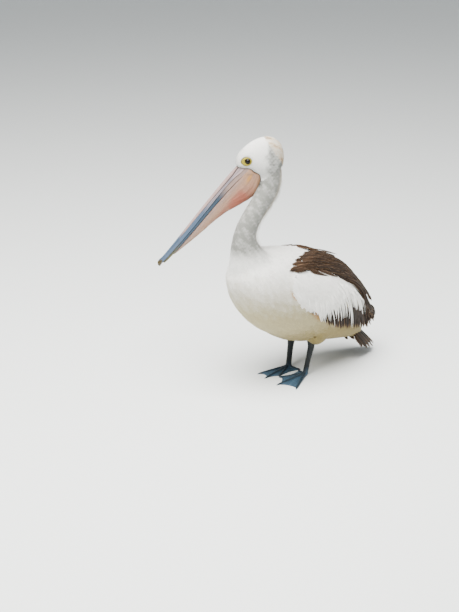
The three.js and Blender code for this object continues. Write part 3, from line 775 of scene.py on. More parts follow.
def orbital_skin(side):
    """The lids and the yellow bare ring round an eye, in the head's frame, with their colours."""
    axis = EYE_AXIS * (side, 1, 1)
    centre = EYE_PLACE * (side, 1, 1)
    ahead = unit(np.array([0.0, -1, 0]) + axis * axis[1])
    up = unit(np.cross(axis, ahead))
    up = up if up[2] > 0 else -up
    rounds, rings = 72, 17
    angle = np.linspace(0, 2 * math.pi, rounds, endpoint=False)
    way = np.stack([np.cos(angle), np.sin(angle)], 1)
    # Seen from the side the ring is an oval that reaches further forward and down than back.
    along, across = turned_by(way[:, 0], way[:, 1], OVAL_LEAN)
    along = along * OVAL_REACH[0] * (1 + 0.1 * np.abs(along) ** 6)
    outline = np.stack(turned_by(along, across * OVAL_REACH[1], -OVAL_LEAN), 1) + OVAL_OFFSET
    inner = (LID_RADIUS + LID_ROLL[-1][0]) * way
    grid, colours = [], []
    for r in range(rings):
        if r < len(LID_ROLL):
            out, lift = LID_ROLL[r]
            rise = math.sqrt(EYE_RADIUS**2 - LID_RADIUS**2) + lift
            grid.append(centre + axis * rise + (LID_RADIUS + out) * (way[:, :1] * ahead + way[:, 1:] * up))
        else:
            t = (r - 3) / (rings - 4)
            flat = inner + (outline - inner) * t
            ahead_mm = -centre[1] + flat[:, 0]
            up_mm = centre[2] + flat[:, 1]
            rim = grid[len(LID_ROLL) - 1][:, 0]
            base = rim + (skull_side(ahead_mm, up_mm) * side + side * 0.6 - rim) * ramp(0, 1, t) ** 0.8
            swell = side * (0.9 * math.sin(math.pi * t) + 0.25 * math.sin(5 * math.pi * t))
            sunk = side * -2.6 * ramp(0.86, 1.0, t)
            grid.append(np.stack([base + swell + sunk, -ahead_mm, up_mm], 1))
        share = r / (rings - 1)
        colour = TONES["yellow"] * (1 + 0.1 * np.sin(5 * angle + 9 * share))[:, None]
        # Painted shade: the lid's margin is painted black for the shade under the lids, and so is the ring's
        # outer edge, for the shade under the feathers.
        for black in ((0.9, 0.9, 0.35)[r] if r < 3 else 0.0, 0.85 * ramp(0.74, 0.9, share)):
            colour = paint(colour, TONES["groove"], np.full(rounds, black))
        colours.append(colour)
    faces = ring_faces_inward(rings, rounds)
    if side < 0:
        faces = faces[:, ::-1]
    return np.concatenate(grid), faces, np.concatenate(colours)


# The skull from nape to face: forward, top, bottom, half width and the height of its widest place.
HEAD = [
    [-84, -4, -26, 9, -14], [-79, 16, -40, 23, -12], [-64, 35, -60, 32, -12], [-40, 49.5, -80, 37, -10],
    [-12, 58.5, -88, 39, -6], [14, 62, -86, 39, -2], [34, 62, -76, 37.5, 3], [48, 59, -66, 35, 9],
    [60, 52, -54, 32, 15], [70, 43, -30, 28, 20], [78, 34, -4, 20, 22],
]  # fmt: skip


def skull_side(ahead, up):
    """Half the skull's width at a place in its side view."""
    steps = np.linspace(0, 1, 200)
    rows = row_at(HEAD, steps)
    top, bottom, half, mid = (np.interp(ahead, rows[:, 0], rows[:, k]) for k in range(1, 5))
    height = np.where(up > mid, top - mid, mid - bottom)
    return half * np.sqrt(np.clip(1 - ((up - mid) / height) ** 2, 0.02, 1))


# Each foot's side and the ways its toes point, in degrees from straight ahead, hind toe first.
FEET = ((1, (-100, -25, 3, 36)), (-1, (112, 30, 12, -8)))
TOE_LENGTHS = (45, 88, 126, 120)
CLAW_REACH = 3
STANCE = 95


def toe_lines():
    """The heel and tip of each toe on the floor."""
    lines = []
    for side, toes in FEET:
        heel = np.array([side * STANCE / 2, 0, 0])
        for degrees, length in zip(toes, TOE_LENGTHS):
            way = np.array([math.sin(math.radians(degrees)), -math.cos(math.radians(degrees)), 0])
            lines.append((heel, heel + way * (length + CLAW_REACH)))
    return lines


def toe_share(points):
    """1 on the ridge of a toe, 0 out on the web."""
    gap = np.full(len(points), 1e9)
    for heel, tip in toe_lines():
        run = tip - heel
        t = np.clip(((points - heel) @ run) / (run @ run), 0, 1)
        off = points - (heel + t[:, None] * run)
        gap = np.minimum(gap, np.hypot(off[:, 0], off[:, 1]))
    return 1 - ramp(3.0, 8.0, gap)


def coat_depth(points, labels):
    """How deep the skin lies under the plumage's surface, in millimetres."""
    depth = np.full(len(points), BODY_DEPTH)
    depth[np.char.startswith(labels, "neck")] = NECK_DEPTH
    depth[np.char.startswith(labels, "thigh")] = NECK_DEPTH
    depth[np.char.startswith(labels, "coverts")] = BODY_DEPTH + 1.6
    depth[np.char.startswith(labels, "scapulars")] = BODY_DEPTH + 1.8
    depth[labels == "head"] = HEAD_DEPTH
    head = into_head(points)
    face = ramp(0, 45, -head[:, 1]) * (labels == "head")
    return depth - (HEAD_DEPTH - FACE_DEPTH) * face


class PELICAN_OT_skin(bpy.types.Operator):
    """The skin: body, neck, head and wings in one, and the pouch, lids, legs and feet that meet them"""

    bl_idname = "pelican.skin"
    bl_label = "Skin"

    def execute(self, context):
        solids = {name: node_arrays(name) for name in FEATHERED}
        # The loose plumes on the right are feathers, so that side's flesh is the left side mirrored.
        solids["scapulars_right"] = node_arrays("scapulars_left", mirrored=True)
        swells = [2.0 if name.startswith(("coverts", "scapulars")) else 0.6 for name in solids]
        points, faces = fused(list(solids.values()), context.scene.pelican_plumage.skin_mesh / MM, swells)
        pairs = edge_pairs(faces)
        labels = nearest_names(points, solids)
        points = smoothed(points, pairs, 14)
        depth = smoothed(coat_depth(points, labels), pairs, 12)
        points = points - vertex_normals(points, faces[:, [0, 1, 2]]) * depth[:, None]
        points = smoothed(points, pairs, 6)
        STORE["hide"] = Hide(points, faces, labels)
        tone = plumage_tone(points)
        # Under the brown feathers the skin is brown too.
        tone[np.char.startswith(labels, "scapulars")] = TONES["brown"]
        parts = [(points, faces, tone, 0)]

        pouch, pouch_faces = fused([node_arrays("pouch")], 2.0, [0.0])
        pouch_pairs = edge_pairs(pouch_faces)
        pouch = smoothed(pouch, pouch_pairs, 10)
        normals = vertex_normals(pouch, pouch_faces[:, [0, 1, 2]])
        head = into_head(pouch)
        pouch = pouch + normals * pouch_folds(head)[:, None]
        parts.append((pouch, pouch_faces, pouch_tone(head), 1))

        for side in ("left", "right"):
            leg, leg_faces = fused([node_arrays(n + side) for n in ("leg_", "foot_")], 1.7, [0.4, 0.25])
            leg = smoothed(leg, edge_pairs(leg_faces), 3)
            leg[:, 2] = np.maximum(leg[:, 2], 0.0)
            normals = vertex_normals(leg, leg_faces[:, [0, 1, 2]])
            leg = leg + normals * leg_relief(leg)[:, None]
            leg[:, 2] = np.maximum(leg[:, 2], 0.0)
            parts.append((leg, leg_faces, leg_tone(leg), 2))
        for side in (1, -1):
            ring, ring_faces, ring_tone = orbital_skin(side)
            parts.append((from_head(ring), ring_faces, ring_tone, 3))

        places, squares, tones, finish = zip(*parts)
        starts = np.cumsum([0] + [len(part) for part in places])
        faces = np.concatenate([part + start for part, start in zip(squares, starts)])
        mesh = raw_mesh("skin", np.concatenate(places), [faces])
        note(mesh, "tone", np.concatenate(tones))
        finishes = [finish_of(n) for n in ("plumage_skin", "pouch_skin", "leg_skin", "eyelid_skin")]
        flesh = [n for n in FEATHERED if not n.startswith(("coverts", "scapulars"))]
        piece = add_piece("skin", mesh, finishes, flesh + LEG_NODES + ["pouch"])
        which = np.concatenate([np.full(len(part), number) for part, number in zip(squares, finish)])
        piece.data.polygons.foreach_set("material_index", which.astype(np.int32))
        return {"FINISHED"}


def pouch_folds(head):
    """Height of the pouch's folds, which run along it and fan out at its rear."""
    ahead, up = -head[:, 1], head[:, 2]
    along = np.clip((up + 4) / (-20 - 60 * np.exp(-(((ahead - 100) / 70) ** 2))), -0.2, 1.3)
    waves = np.sin(along * 26 + 1.5 * np.sin(ahead / 45)) * 0.5 + np.sin(along * 47 + ahead / 60) * 0.25
    rear = np.sin((ahead + 0.5 * up) / 3.4) * 0.35 * ramp(95, 50, ahead)
    return (waves * ramp(430, 300, ahead) + rear) * ramp(4, -10, up) * 0.55


def leg_relief(points):
    """Scutes round the shank, pads along the toes and a fine crinkle on the webs."""
    x, y, z = points.T
    scutes = np.abs(np.sin(z / 2.6)) * ramp(16, 30, z) * 0.35
    pads = 0.0
    for heel, tip in toe_lines():
        run = tip - heel
        t = ((points - heel) @ run) / (run @ run)
        off = points - (heel + np.clip(t, 0, 1)[:, None] * run)
        near = np.exp(-((np.hypot(off[:, 0], off[:, 1]) / 5) ** 2)) * band(0.1, 0.95, 0.05, t)
        pads = pads + near * (0.55 * np.abs(np.sin(t * np.linalg.norm(run) / 5.2)) - 0.1)
    webs = 0.25 * np.sin((x * 0.6 + y) / 3.1) * np.sin((x - 0.4 * y) / 5.0) * (1 - toe_share(points))
    return scutes + (pads + webs) * ramp(22, 12, z) * ramp(1.0, 2.5, z)


# ---------------------------------------------------------------- tufts and vanes
TUFT_RING = [(-1, 0), (0, 1), (1, 0)]
VANE_RING = [(-1, 0), (-0.55, 0.5), (-0.1, 0.6), (0, 1.9), (0.1, 0.6), (0.55, 0.5), (1, 0),
             (0.5, -0.5), (0, -0.9), (-0.5, -0.5)]  # fmt: skip


def grow(lines, ups, widths, rises, thicknesses, ring, camber=0.0, rng=None, ragged=0.0):
    """Solid blades along lines of places. The last place of each line is the blade's point.

    lines and ups are (count, places, 3), and widths, rises and thicknesses are (count, places). For each
    vertex it gives its place, its way across and along the blade, its blade and the blade's way out."""
    count, places, _ = lines.shape
    along = unit(np.gradient(lines, axis=1))
    side = unit(np.cross(along, ups))
    out = np.cross(side, along)
    template = np.array(ring, float)
    u, h = template[:, 0], template[:, 1]
    spread = np.ones((count, places - 1, len(u)))
    if rng is not None and ragged:
        for sign in (-1, 1):
            noise = 1 - ragged * rng.random((count, places - 1)) ** 2
            spread[:, :, u == sign] = noise[..., None]
    across = u * spread * widths[:, :-1, None]
    height = rises[:, :-1, None] + h * thicknesses[:, :-1, None]
    height = height - camber * np.abs(u) ** 2 * widths[:, :-1, None]
    body = lines[:, :-1, None] + side[:, :-1, None] * across[..., None]
    body = body + out[:, :-1, None] * height[..., None]
    tips = lines[:, -1] + out[:, -1] * rises[:, -1:]
    corners = (places - 1) * len(u)
    points = np.concatenate([body.reshape(count, corners, 3), tips[:, None]], 1)
    n = len(u)
    quads = np.roll(ring_faces(places - 1, n), -1, 1)
    last = np.arange(corners - n, corners)
    fan = np.stack([np.roll(last, -1), np.full(n, corners), last], -1)
    shut = np.stack([np.arange(2, n), np.arange(1, n - 1), np.full(n - 2, 0)], -1)
    tris = np.concatenate([fan, shut])
    offset = (np.arange(count) * (corners + 1))[:, None, None]
    steps = np.repeat(np.linspace(0, 1, places)[:-1], n)
    vane = np.concatenate([np.stack([np.tile(u, places - 1), steps], 1), [[0, 1]]])
    outward = np.concatenate([np.repeat(out[:, :-1], n, 1), out[:, -1:]], 1)
    return {
        "points": points.reshape(-1, 3),
        "faces": [(quads + offset).reshape(-1, 4), (tris + offset).reshape(-1, 3)],
        "local": np.tile(vane, (count, 1)),
        "owner": np.repeat(np.arange(count), corners + 1),
        "outward": outward.reshape(-1, 3),
    }


def coat_piece(name, blades, roots, tones, material, replaced, lift_normals, seed):
    """Makes a coat piece from blades and gives each its patch of the OFBake map.

    lift_normals is the share of each normal that is the blade's way out, which evens out its shading."""
    mesh = raw_mesh(name, blades["points"], blades["faces"])
    owner, local = blades["owner"], blades["local"]
    note(mesh, "tone", tones)
    rng = np.random.default_rng(seed)
    chance = rng.random(len(roots))[owner]
    note(mesh, "vane", np.column_stack([local, chance]))
    spread = unwrap(roots)
    low, high = spread.min(0), spread.max(0)
    places = 0.004 + 0.99 * (spread - low) / np.maximum(high - low, 1e-6)
    patch = places[owner] + 0.003 * np.column_stack([local[:, 0] * 0.5, local[:, 1] - 0.5])
    corners = np.empty(len(mesh.loops), np.int32)
    mesh.loops.foreach_get("vertex_index", corners)
    layer = mesh.uv_layers.new(name="OFBake")
    layer.data.foreach_set("uv", patch[corners].astype(np.float32).ravel())
    piece = add_piece(name, mesh, [material], replaced)
    own = np.empty(len(mesh.vertices) * 3, np.float32)
    mesh.vertices.foreach_get("normal", own)
    blended = unit(own.reshape(-1, 3) * (1 - lift_normals) + blades["outward"] * lift_normals)
    mesh.normals_split_custom_set_from_vertices(blended.tolist())
    return piece


def lay(hide, roots, normals, way_at, lengths, shares, jitter, rng):
    """Lines that creep over the skin from their roots, each as long as its feather."""
    lines, ups = [roots], [normals]
    here, up = roots, normals
    turn = rng.normal(0, jitter, len(roots))
    for a, b in zip(shares, shares[1:]):
        way = way_at(here)
        way = unit(way - up * (way * up).sum(1)[:, None])
        way = way * np.cos(turn)[:, None] + np.cross(up, way) * np.sin(turn)[:, None]
        there, up = hide.nearest(here + way * (lengths * (b - a))[:, None])
        lines.append(there)
        ups.append(up)
        here = there
    return np.stack(lines, 1), np.stack(ups, 1)


# A tuft's places along its length, and its half width at each as a share of the widest.
TUFT_SHARES = (0.0, 0.34, 0.76, 1.0)
TUFT_WIDTHS = (0.6, 1.0, 0.86, 0.0)


def tufts(name, chosen, spacing, length, half_width, depth, way_at, seed,
          jitter=0.12, loose=0.25, shares=TUFT_SHARES, widths=TUFT_WIDTHS, keep=None, tint=None):  # fmt: skip
    """A coat piece of small tufts over the chosen faces of the skin.

    spacing, length, half_width and depth are in mm; length and depth may be worked out from the roots.
    jitter turns tufts off the lie, in radians, and loose is how unevenly their tips stand."""
    hide = STORE["hide"]
    rng = np.random.default_rng(seed)
    roots = hide.scatter(chosen, spacing, seed)
    if keep is not None:
        roots = roots[keep(roots)]
    roots, normals = hide.nearest(roots)
    count = len(roots)
    size = (length(roots) if callable(length) else length) * rng.uniform(0.8, 1.2, count)
    lines, ups = lay(hide, roots, normals, way_at, size, shares, jitter, rng)
    deep = depth(roots) if callable(depth) else np.full(count, float(depth))
    tip = deep * rng.uniform(1 - loose, 1 + loose, count)
    shares = np.array(shares)
    # A tuft comes up quickly, lies flat, and its tip sinks among its neighbours.
    rises = tip[:, None] * np.interp(shares, (0, 0.3, 0.65, 1), (0, 0.84, 1, 0.76))[None] - 0.8 * (1 - shares)
    widths = half_width * np.array(widths)[None] * rng.uniform(0.8, 1.2, (count, 1))
    thick = 0.11 * widths + 0.12
    blades = grow(lines, ups, widths, rises, thick, TUFT_RING)
    colours = plumage_tone(lines[:, 1] + ups[:, 1] * 4)
    if tint is not None:
        colours = tint(colours, roots, rng)
    shade = rng.normal(1, 0.035, (count, 1))
    tip_light = 0.93 + 0.1 * blades["local"][:, 1:]
    tones = np.clip(colours * shade, 0, 1)[blades["owner"]] * tip_light
    tones = np.clip(tones, 0, 1)
    return coat_piece(name, blades, roots, tones, finish_of("white_barbs"), (), 0.85, seed)


def face_middles():
    """The middle of each face of the skin, and the solid that it comes from."""
    hide = STORE["hide"]
    middles = hide.points[hide.faces].mean(1)
    return middles, hide.labels[hide.faces[:, 0]]


class PELICAN_OT_body_plumage(bpy.types.Operator):
    """White and cream tufts over breast, back, belly and thighs, painted darker below as shade"""

    bl_idname = "pelican.body_plumage"
    bl_label = "Body plumage"

    def execute(self, context):
        settings = context.scene.pelican_plumage
        middles, labels = face_middles()
        trunk = (labels == "trunk") | np.char.startswith(labels, "thigh")
        _, y, z = middles.T
        way = lie(TRUNK_GUIDES + NECK_GUIDES[4:])
        spacing = settings.body_spacing / MM
        long = settings.body_length / MM
        low = z < 300 - 0.28 * y

        def near_leg(roots):
            """Tufts shorten down the thigh, so that the ankle shows."""
            return near_tail(roots) * (0.75 + 0.3 * ramp(122, 165, roots[:, 2]))

        def near_tail(roots):
            """Tufts shorten towards the tail's root."""
            return long * (1 - 0.55 * ramp(215, 275, roots[:, 1]))

        def full(roots):
            """The loose belly feathers hang lowest round the legs."""
            return BODY_DEPTH + 1.0 + 7 * ramp(210, 160, roots[:, 2]) * band(-150, -35, 40, roots[:, 1])

        breast = trunk & ~low & (y < -70)
        back = trunk & ~low & (y >= -70)
        tufts("breast_plumage", breast, spacing, long, 4.5, BODY_DEPTH, way, 21, loose=0.06)
        tufts("back_plumage", back, spacing, near_tail, 4.5, BODY_DEPTH, way, 22, loose=0.06)
        tufts("belly_plumage", trunk & low, spacing, near_leg, 4.4, full, way, 23,
              jitter=0.16, loose=0.12)  # fmt: skip
        return {"FINISHED"}


class PELICAN_OT_head_plumage(bpy.types.Operator):
    """Short plush on head and neck, and the shaggy nape"""

    bl_idname = "pelican.head_plumage"
    bl_label = "Head and neck plumage"

    def execute(self, context):
        settings = context.scene.pelican_plumage
        middles, labels = face_middles()
        way = lie(HEAD_GUIDES + NECK_GUIDES)
        neck = np.char.startswith(labels, "neck")
        tufts("neck_plumage", neck, settings.neck_spacing / MM, 15.5, 2.7, NECK_DEPTH, way, 31,
              jitter=0.1, loose=0.08, shares=(0, 0.62, 1), widths=(0.7, 1, 0))  # fmt: skip
        # The head's tufts run on over the seam onto the neck.
        head = (labels == "head") | (neck & (np.linalg.norm(into_head(middles) / (80, 105, 90), axis=1) < 1))

        def on_face(roots):
            """The bare bill, pouch and ring round the eye stay free."""
            place = into_head(roots)
            bare = in_front_of_face(-place[:, 1] + 1.2, place[:, 2])
            side_place = place[:, 1:] - EYE_PLACE[1:]
            ring = oval_gap(-side_place[:, 0], side_place[:, 1]) < 1.0
            return ~bare & ~(ring & (np.abs(place[:, 0]) > 12))

        def short(roots):
            """The tufts lengthen from the face to the nape."""
            return 5.4 + 6.5 * ramp(20, -60, -into_head(roots)[:, 1])

        def shallow(roots):
            return FACE_DEPTH + (HEAD_DEPTH - FACE_DEPTH) * ramp(45, 0, -into_head(roots)[:, 1]) + 0.3

        tufts("head_plumage", head, settings.head_spacing / MM, short, 1.75, shallow, way, 33,
              jitter=0.1, loose=0.08, shares=(0, 0.6, 1), widths=(0.75, 1, 0), keep=on_face)  # fmt: skip

        nape = (head | neck) & (middles[:, 2] > 735)
        place = into_head(middles)
        nape &= place[:, 1] - 0.25 * place[:, 2] > 56

        def buff(colours, roots, rng):
            """Cream strands with buff and rusty patches."""
            count = len(colours)
            patch = 0.5 + 0.5 * wobble(roots, 22, 19)
            colours = paint(colours, TONES["cream_fuzz"], np.full(count, 0.6))
            colours = paint(colours, TONES["buff"], 0.75 * ramp(0.3, 0.8, patch + 0.3 * rng.random(count)))
            return paint(colours, TONES["rust"], 0.7 * ramp(0.85, 1.15, patch + 0.35 * rng.random(count)))

        tufts("nape_crest", nape, 2.3, 18.0, 1.5, 4.8, way, 35, jitter=0.2, loose=0.3,
              tint=buff)  # fmt: skip
        hind = neck & (middles[:, 2] < 760) & (hind_share(middles) > 0.55)

        # Painted rim light: the fuzz down the back of the neck is painted paler than the neck under it.
        def paler_as_rim_light(colours, roots, rng):
            return paint(colours, TONES["cream_fuzz"], np.full(len(colours), 0.7))

        tufts("hind_neck_fuzz", hind, 4.4, 19.0, 0.55, 9.5, way, 36, jitter=0.35, loose=0.5,
              tint=paler_as_rim_light)  # fmt: skip
        return {"FINISHED"}


def oval_gap(ahead, up):
    """Below 1 inside the bare oval round the eye, seen from the side, from the eye's middle."""
    u, v = turned_by(ahead - OVAL_OFFSET[0], up - OVAL_OFFSET[1], OVAL_LEAN)
    return np.hypot(u / (OVAL_REACH[0] - 0.9), v / (OVAL_REACH[1] - 1.0))


# ---------------------------------------------------------------- wings and tail
# Rows across each wing plate, from its front to its rear: the places of its upper edge, middle and
# lower edge on the left wing.
COVERTS = [
    [110, -140, 424, 121, -146, 396, 119, -140, 366],
    [115, -112, 444, 137, -108, 398, 131, -104, 338],
    [113, -52, 438, 144, -52, 368, 139, -66, 306],
    [110, 3, 424, 147, 6, 348, 144, -14, 274],
    [103, 60, 404, 147, 56, 324, 146, 26, 256],
    [94, 110, 380, 140, 104, 306, 140, 74, 248],
    [78, 180, 338, 120, 168, 276, 124, 140, 236],
    [60, 238, 304, 95, 228, 252, 100, 206, 222],
    [40, 292, 258, 64, 286, 224, 70, 268, 206],
    [30, 330, 212, 38, 330, 192, 44, 318, 186],
]
SCAPULARS = [
    [40, 12, 478, 80, -54, 477, 112, -122, 452],
    [24, 68, 462, 74, 18, 470, 115, -58, 446],
    [12, 124, 434, 66, 84, 446, 112, 3, 430],
    [9, 174, 402, 60, 140, 420, 99, 102, 390],
    [8, 222, 360, 50, 194, 382, 80, 186, 340],
    [8, 266, 316, 37, 244, 336, 58, 248, 304],
    [9, 302, 276, 26, 291, 288, 37, 298, 264],
    [15, 332, 236, 22, 330, 237, 28, 327, 230],
]
# Roots and tips of the two plumes that stand up furthest on the right.
RIGHT_PLUMES = [((-64, 92, 445), (-60, 231, 397)), ((-50, 108, 442), (-44, 222, 387))]
# Where the left wing's dark flight feathers end, from its front to its rear.
FLIGHT_TIPS = [
    [139, -6, 240],
    [136, 50, 206],
    [130, 100, 181],
    [121, 148, 167],
    [110, 193, 155],
    [97, 238, 142],
    [82, 280, 132],
    [52, 338, 134],
    [28, 366, 146],
]


def on_plate(rows, t, v, side):
    """A place on a wing plate: t from the wrist to the tip, v from its upper to its lower edge."""
    row = row_at(rows, t)
    top, mid, low = row[..., 0:3], row[..., 3:6], row[..., 6:9]
    v = np.asarray(v)[..., None]
    place = top * (1 - v) * (1 - 2 * v) + mid * 4 * v * (1 - v) + low * v * (2 * v - 1)
    return place * (side, 1, 1)


def plate_out(rows, t, v, side):
    """The way out of a wing plate."""
    ahead, behind = np.maximum(t - 0.02, 0), np.minimum(t + 0.02, 1)
    above, below = np.maximum(v - 0.05, 0), np.minimum(v + 0.05, 1)
    along = on_plate(rows, behind, v, side) - on_plate(rows, ahead, v, side)
    down = on_plate(rows, t, below, side) - on_plate(rows, t, above, side)
    return unit(np.cross(along, down)) * -side


# How far the hanging feathers lean, in mm forward for each mm up, from the wing's front to its rear.
LEAN_STEPS = (0, 0.35, 0.75, 1)
LEANS = (0.42, 0.2, 0.22, 0.4)


def dark_height(t):
    """How far the dark flight feathers show above their ends, in mm, from the wing's front to its rear."""
    return np.interp(t, (0, 0.15, 0.35, 0.6, 0.75, 0.88, 1), (50, 86, 134, 156, 136, 86, 40))


def over_ends(points):
    """Where the dark feathers' ends lie under places: t, mm above them, and how far off that line."""
    t = np.linspace(0, 1, 60)
    end = row_at(FLIGHT_TIPS, t)
    high = points[:, 2:3] - end[None, :, 2]
    off = np.abs(points[:, 1:2] - (end[None, :, 1] - np.interp(t, LEAN_STEPS, LEANS) * high))
    best = off.argmin(1)
    rows = np.arange(len(points))
    return t[best], high[rows, best], off[rows, best]


def plate_share(rows, side, points):
    """How far back and how far down a wing plate the places nearest to points lie, seen from the side."""
    steps = np.meshgrid(np.linspace(0, 1, 70), np.linspace(-0.1, 1.1, 25), indexing="ij")
    t, v = (grid.ravel() for grid in steps)
    places = on_plate(rows, t, v, side) * (0, 1, 1)
    nearest = np.array([((places - p) ** 2).sum(1).argmin() for p in points * (0, 1, 1)])
    return t[nearest], v[nearest]


def bent(start, middle, end, places):
    """Lines that bend from start through middle to end, evenly stepped."""
    first = np.linalg.norm(middle - start, axis=1)
    s = (first / (first + np.linalg.norm(end - middle, axis=1)))[:, None, None]
    t = np.linspace(0, 1, places)[None, :, None]
    a, b, c = start[:, None], middle[:, None], end[:, None]
    return a * (t - s) * (t - 1) / s + b * t * (t - 1) / (s * (s - 1)) + c * t * (t - s) / (1 - s)


def lance(share):
    """Half width of a broad feather with a rounded tip."""
    narrowing = 1 - np.clip((share - 0.35) / 0.65, 0, 1) ** 2.4
    return (0.3 + 0.7 * ramp(0, 0.3, share)) * np.sqrt(np.clip(narrowing, 0, 1))


def pointed(share):
    """Half width of a narrow feather that tapers to a long point."""
    return (0.5 + 0.5 * ramp(0, 0.25, share)) * (1 - np.clip((share - 0.3) / 0.7, 0, 1) ** 1.6)


def slender(share):
    """Half width of a lance-shaped feather with a sharp tip."""
    return (0.4 + 0.6 * ramp(0, 0.3, share)) * (1 - np.clip((share - 0.35) / 0.65, 0, 1) ** 2.0)


def dark_tones(blades, rng, middle, edge, count, width=0.72):
    """Dark vanes with pale edges and tips. The pale edge starts at width, as a share of the half width."""
    across = np.abs(blades["local"][:, 0])
    along = blades["local"][:, 1]
    vary = rng.uniform(0.6, 1.5, (count, 1))[blades["owner"]]
    share = rng.uniform(0.35, 1.0, count)[blades["owner"]]
    colours = np.tile(middle, (len(across), 1)) * vary
    wear_and_crease_shade = np.maximum(ramp(width, 1.0, across), 0.6 * ramp(0.86, 1, along))
    return np.clip(paint(colours, edge, share * wear_and_crease_shade), 0, 1)


def vanes(name, lines, ups, half_width, seed, colours, material, replaced=(), ragged=0.25,
          thickness=0.9, camber=0.16, normals=0.25, lifts=None, profile=lance):  # fmt: skip
    """A coat piece of single large feathers, one for each line, with its sizes in mm.

    ragged is how far the edges are torn in, and normals the share of their own shading that is evened out."""
    rng = np.random.default_rng(seed)
    count, places, _ = lines.shape
    share = np.linspace(0, 1, places)
    widths = np.broadcast_to(np.asarray(half_width, float).reshape(-1, 1), (count, 1)) * profile(share)[None]
    rises = np.zeros((count, places)) if lifts is None else lifts
    thick = np.full((count, places), thickness) * (1 - 0.6 * share)[None]
    blades = grow(lines, ups, widths, rises, thick, VANE_RING, camber, rng, ragged)
    tones = colours(blades, rng, count)
    return coat_piece(name, blades, lines[:, 0], tones, material, replaced, normals, seed)


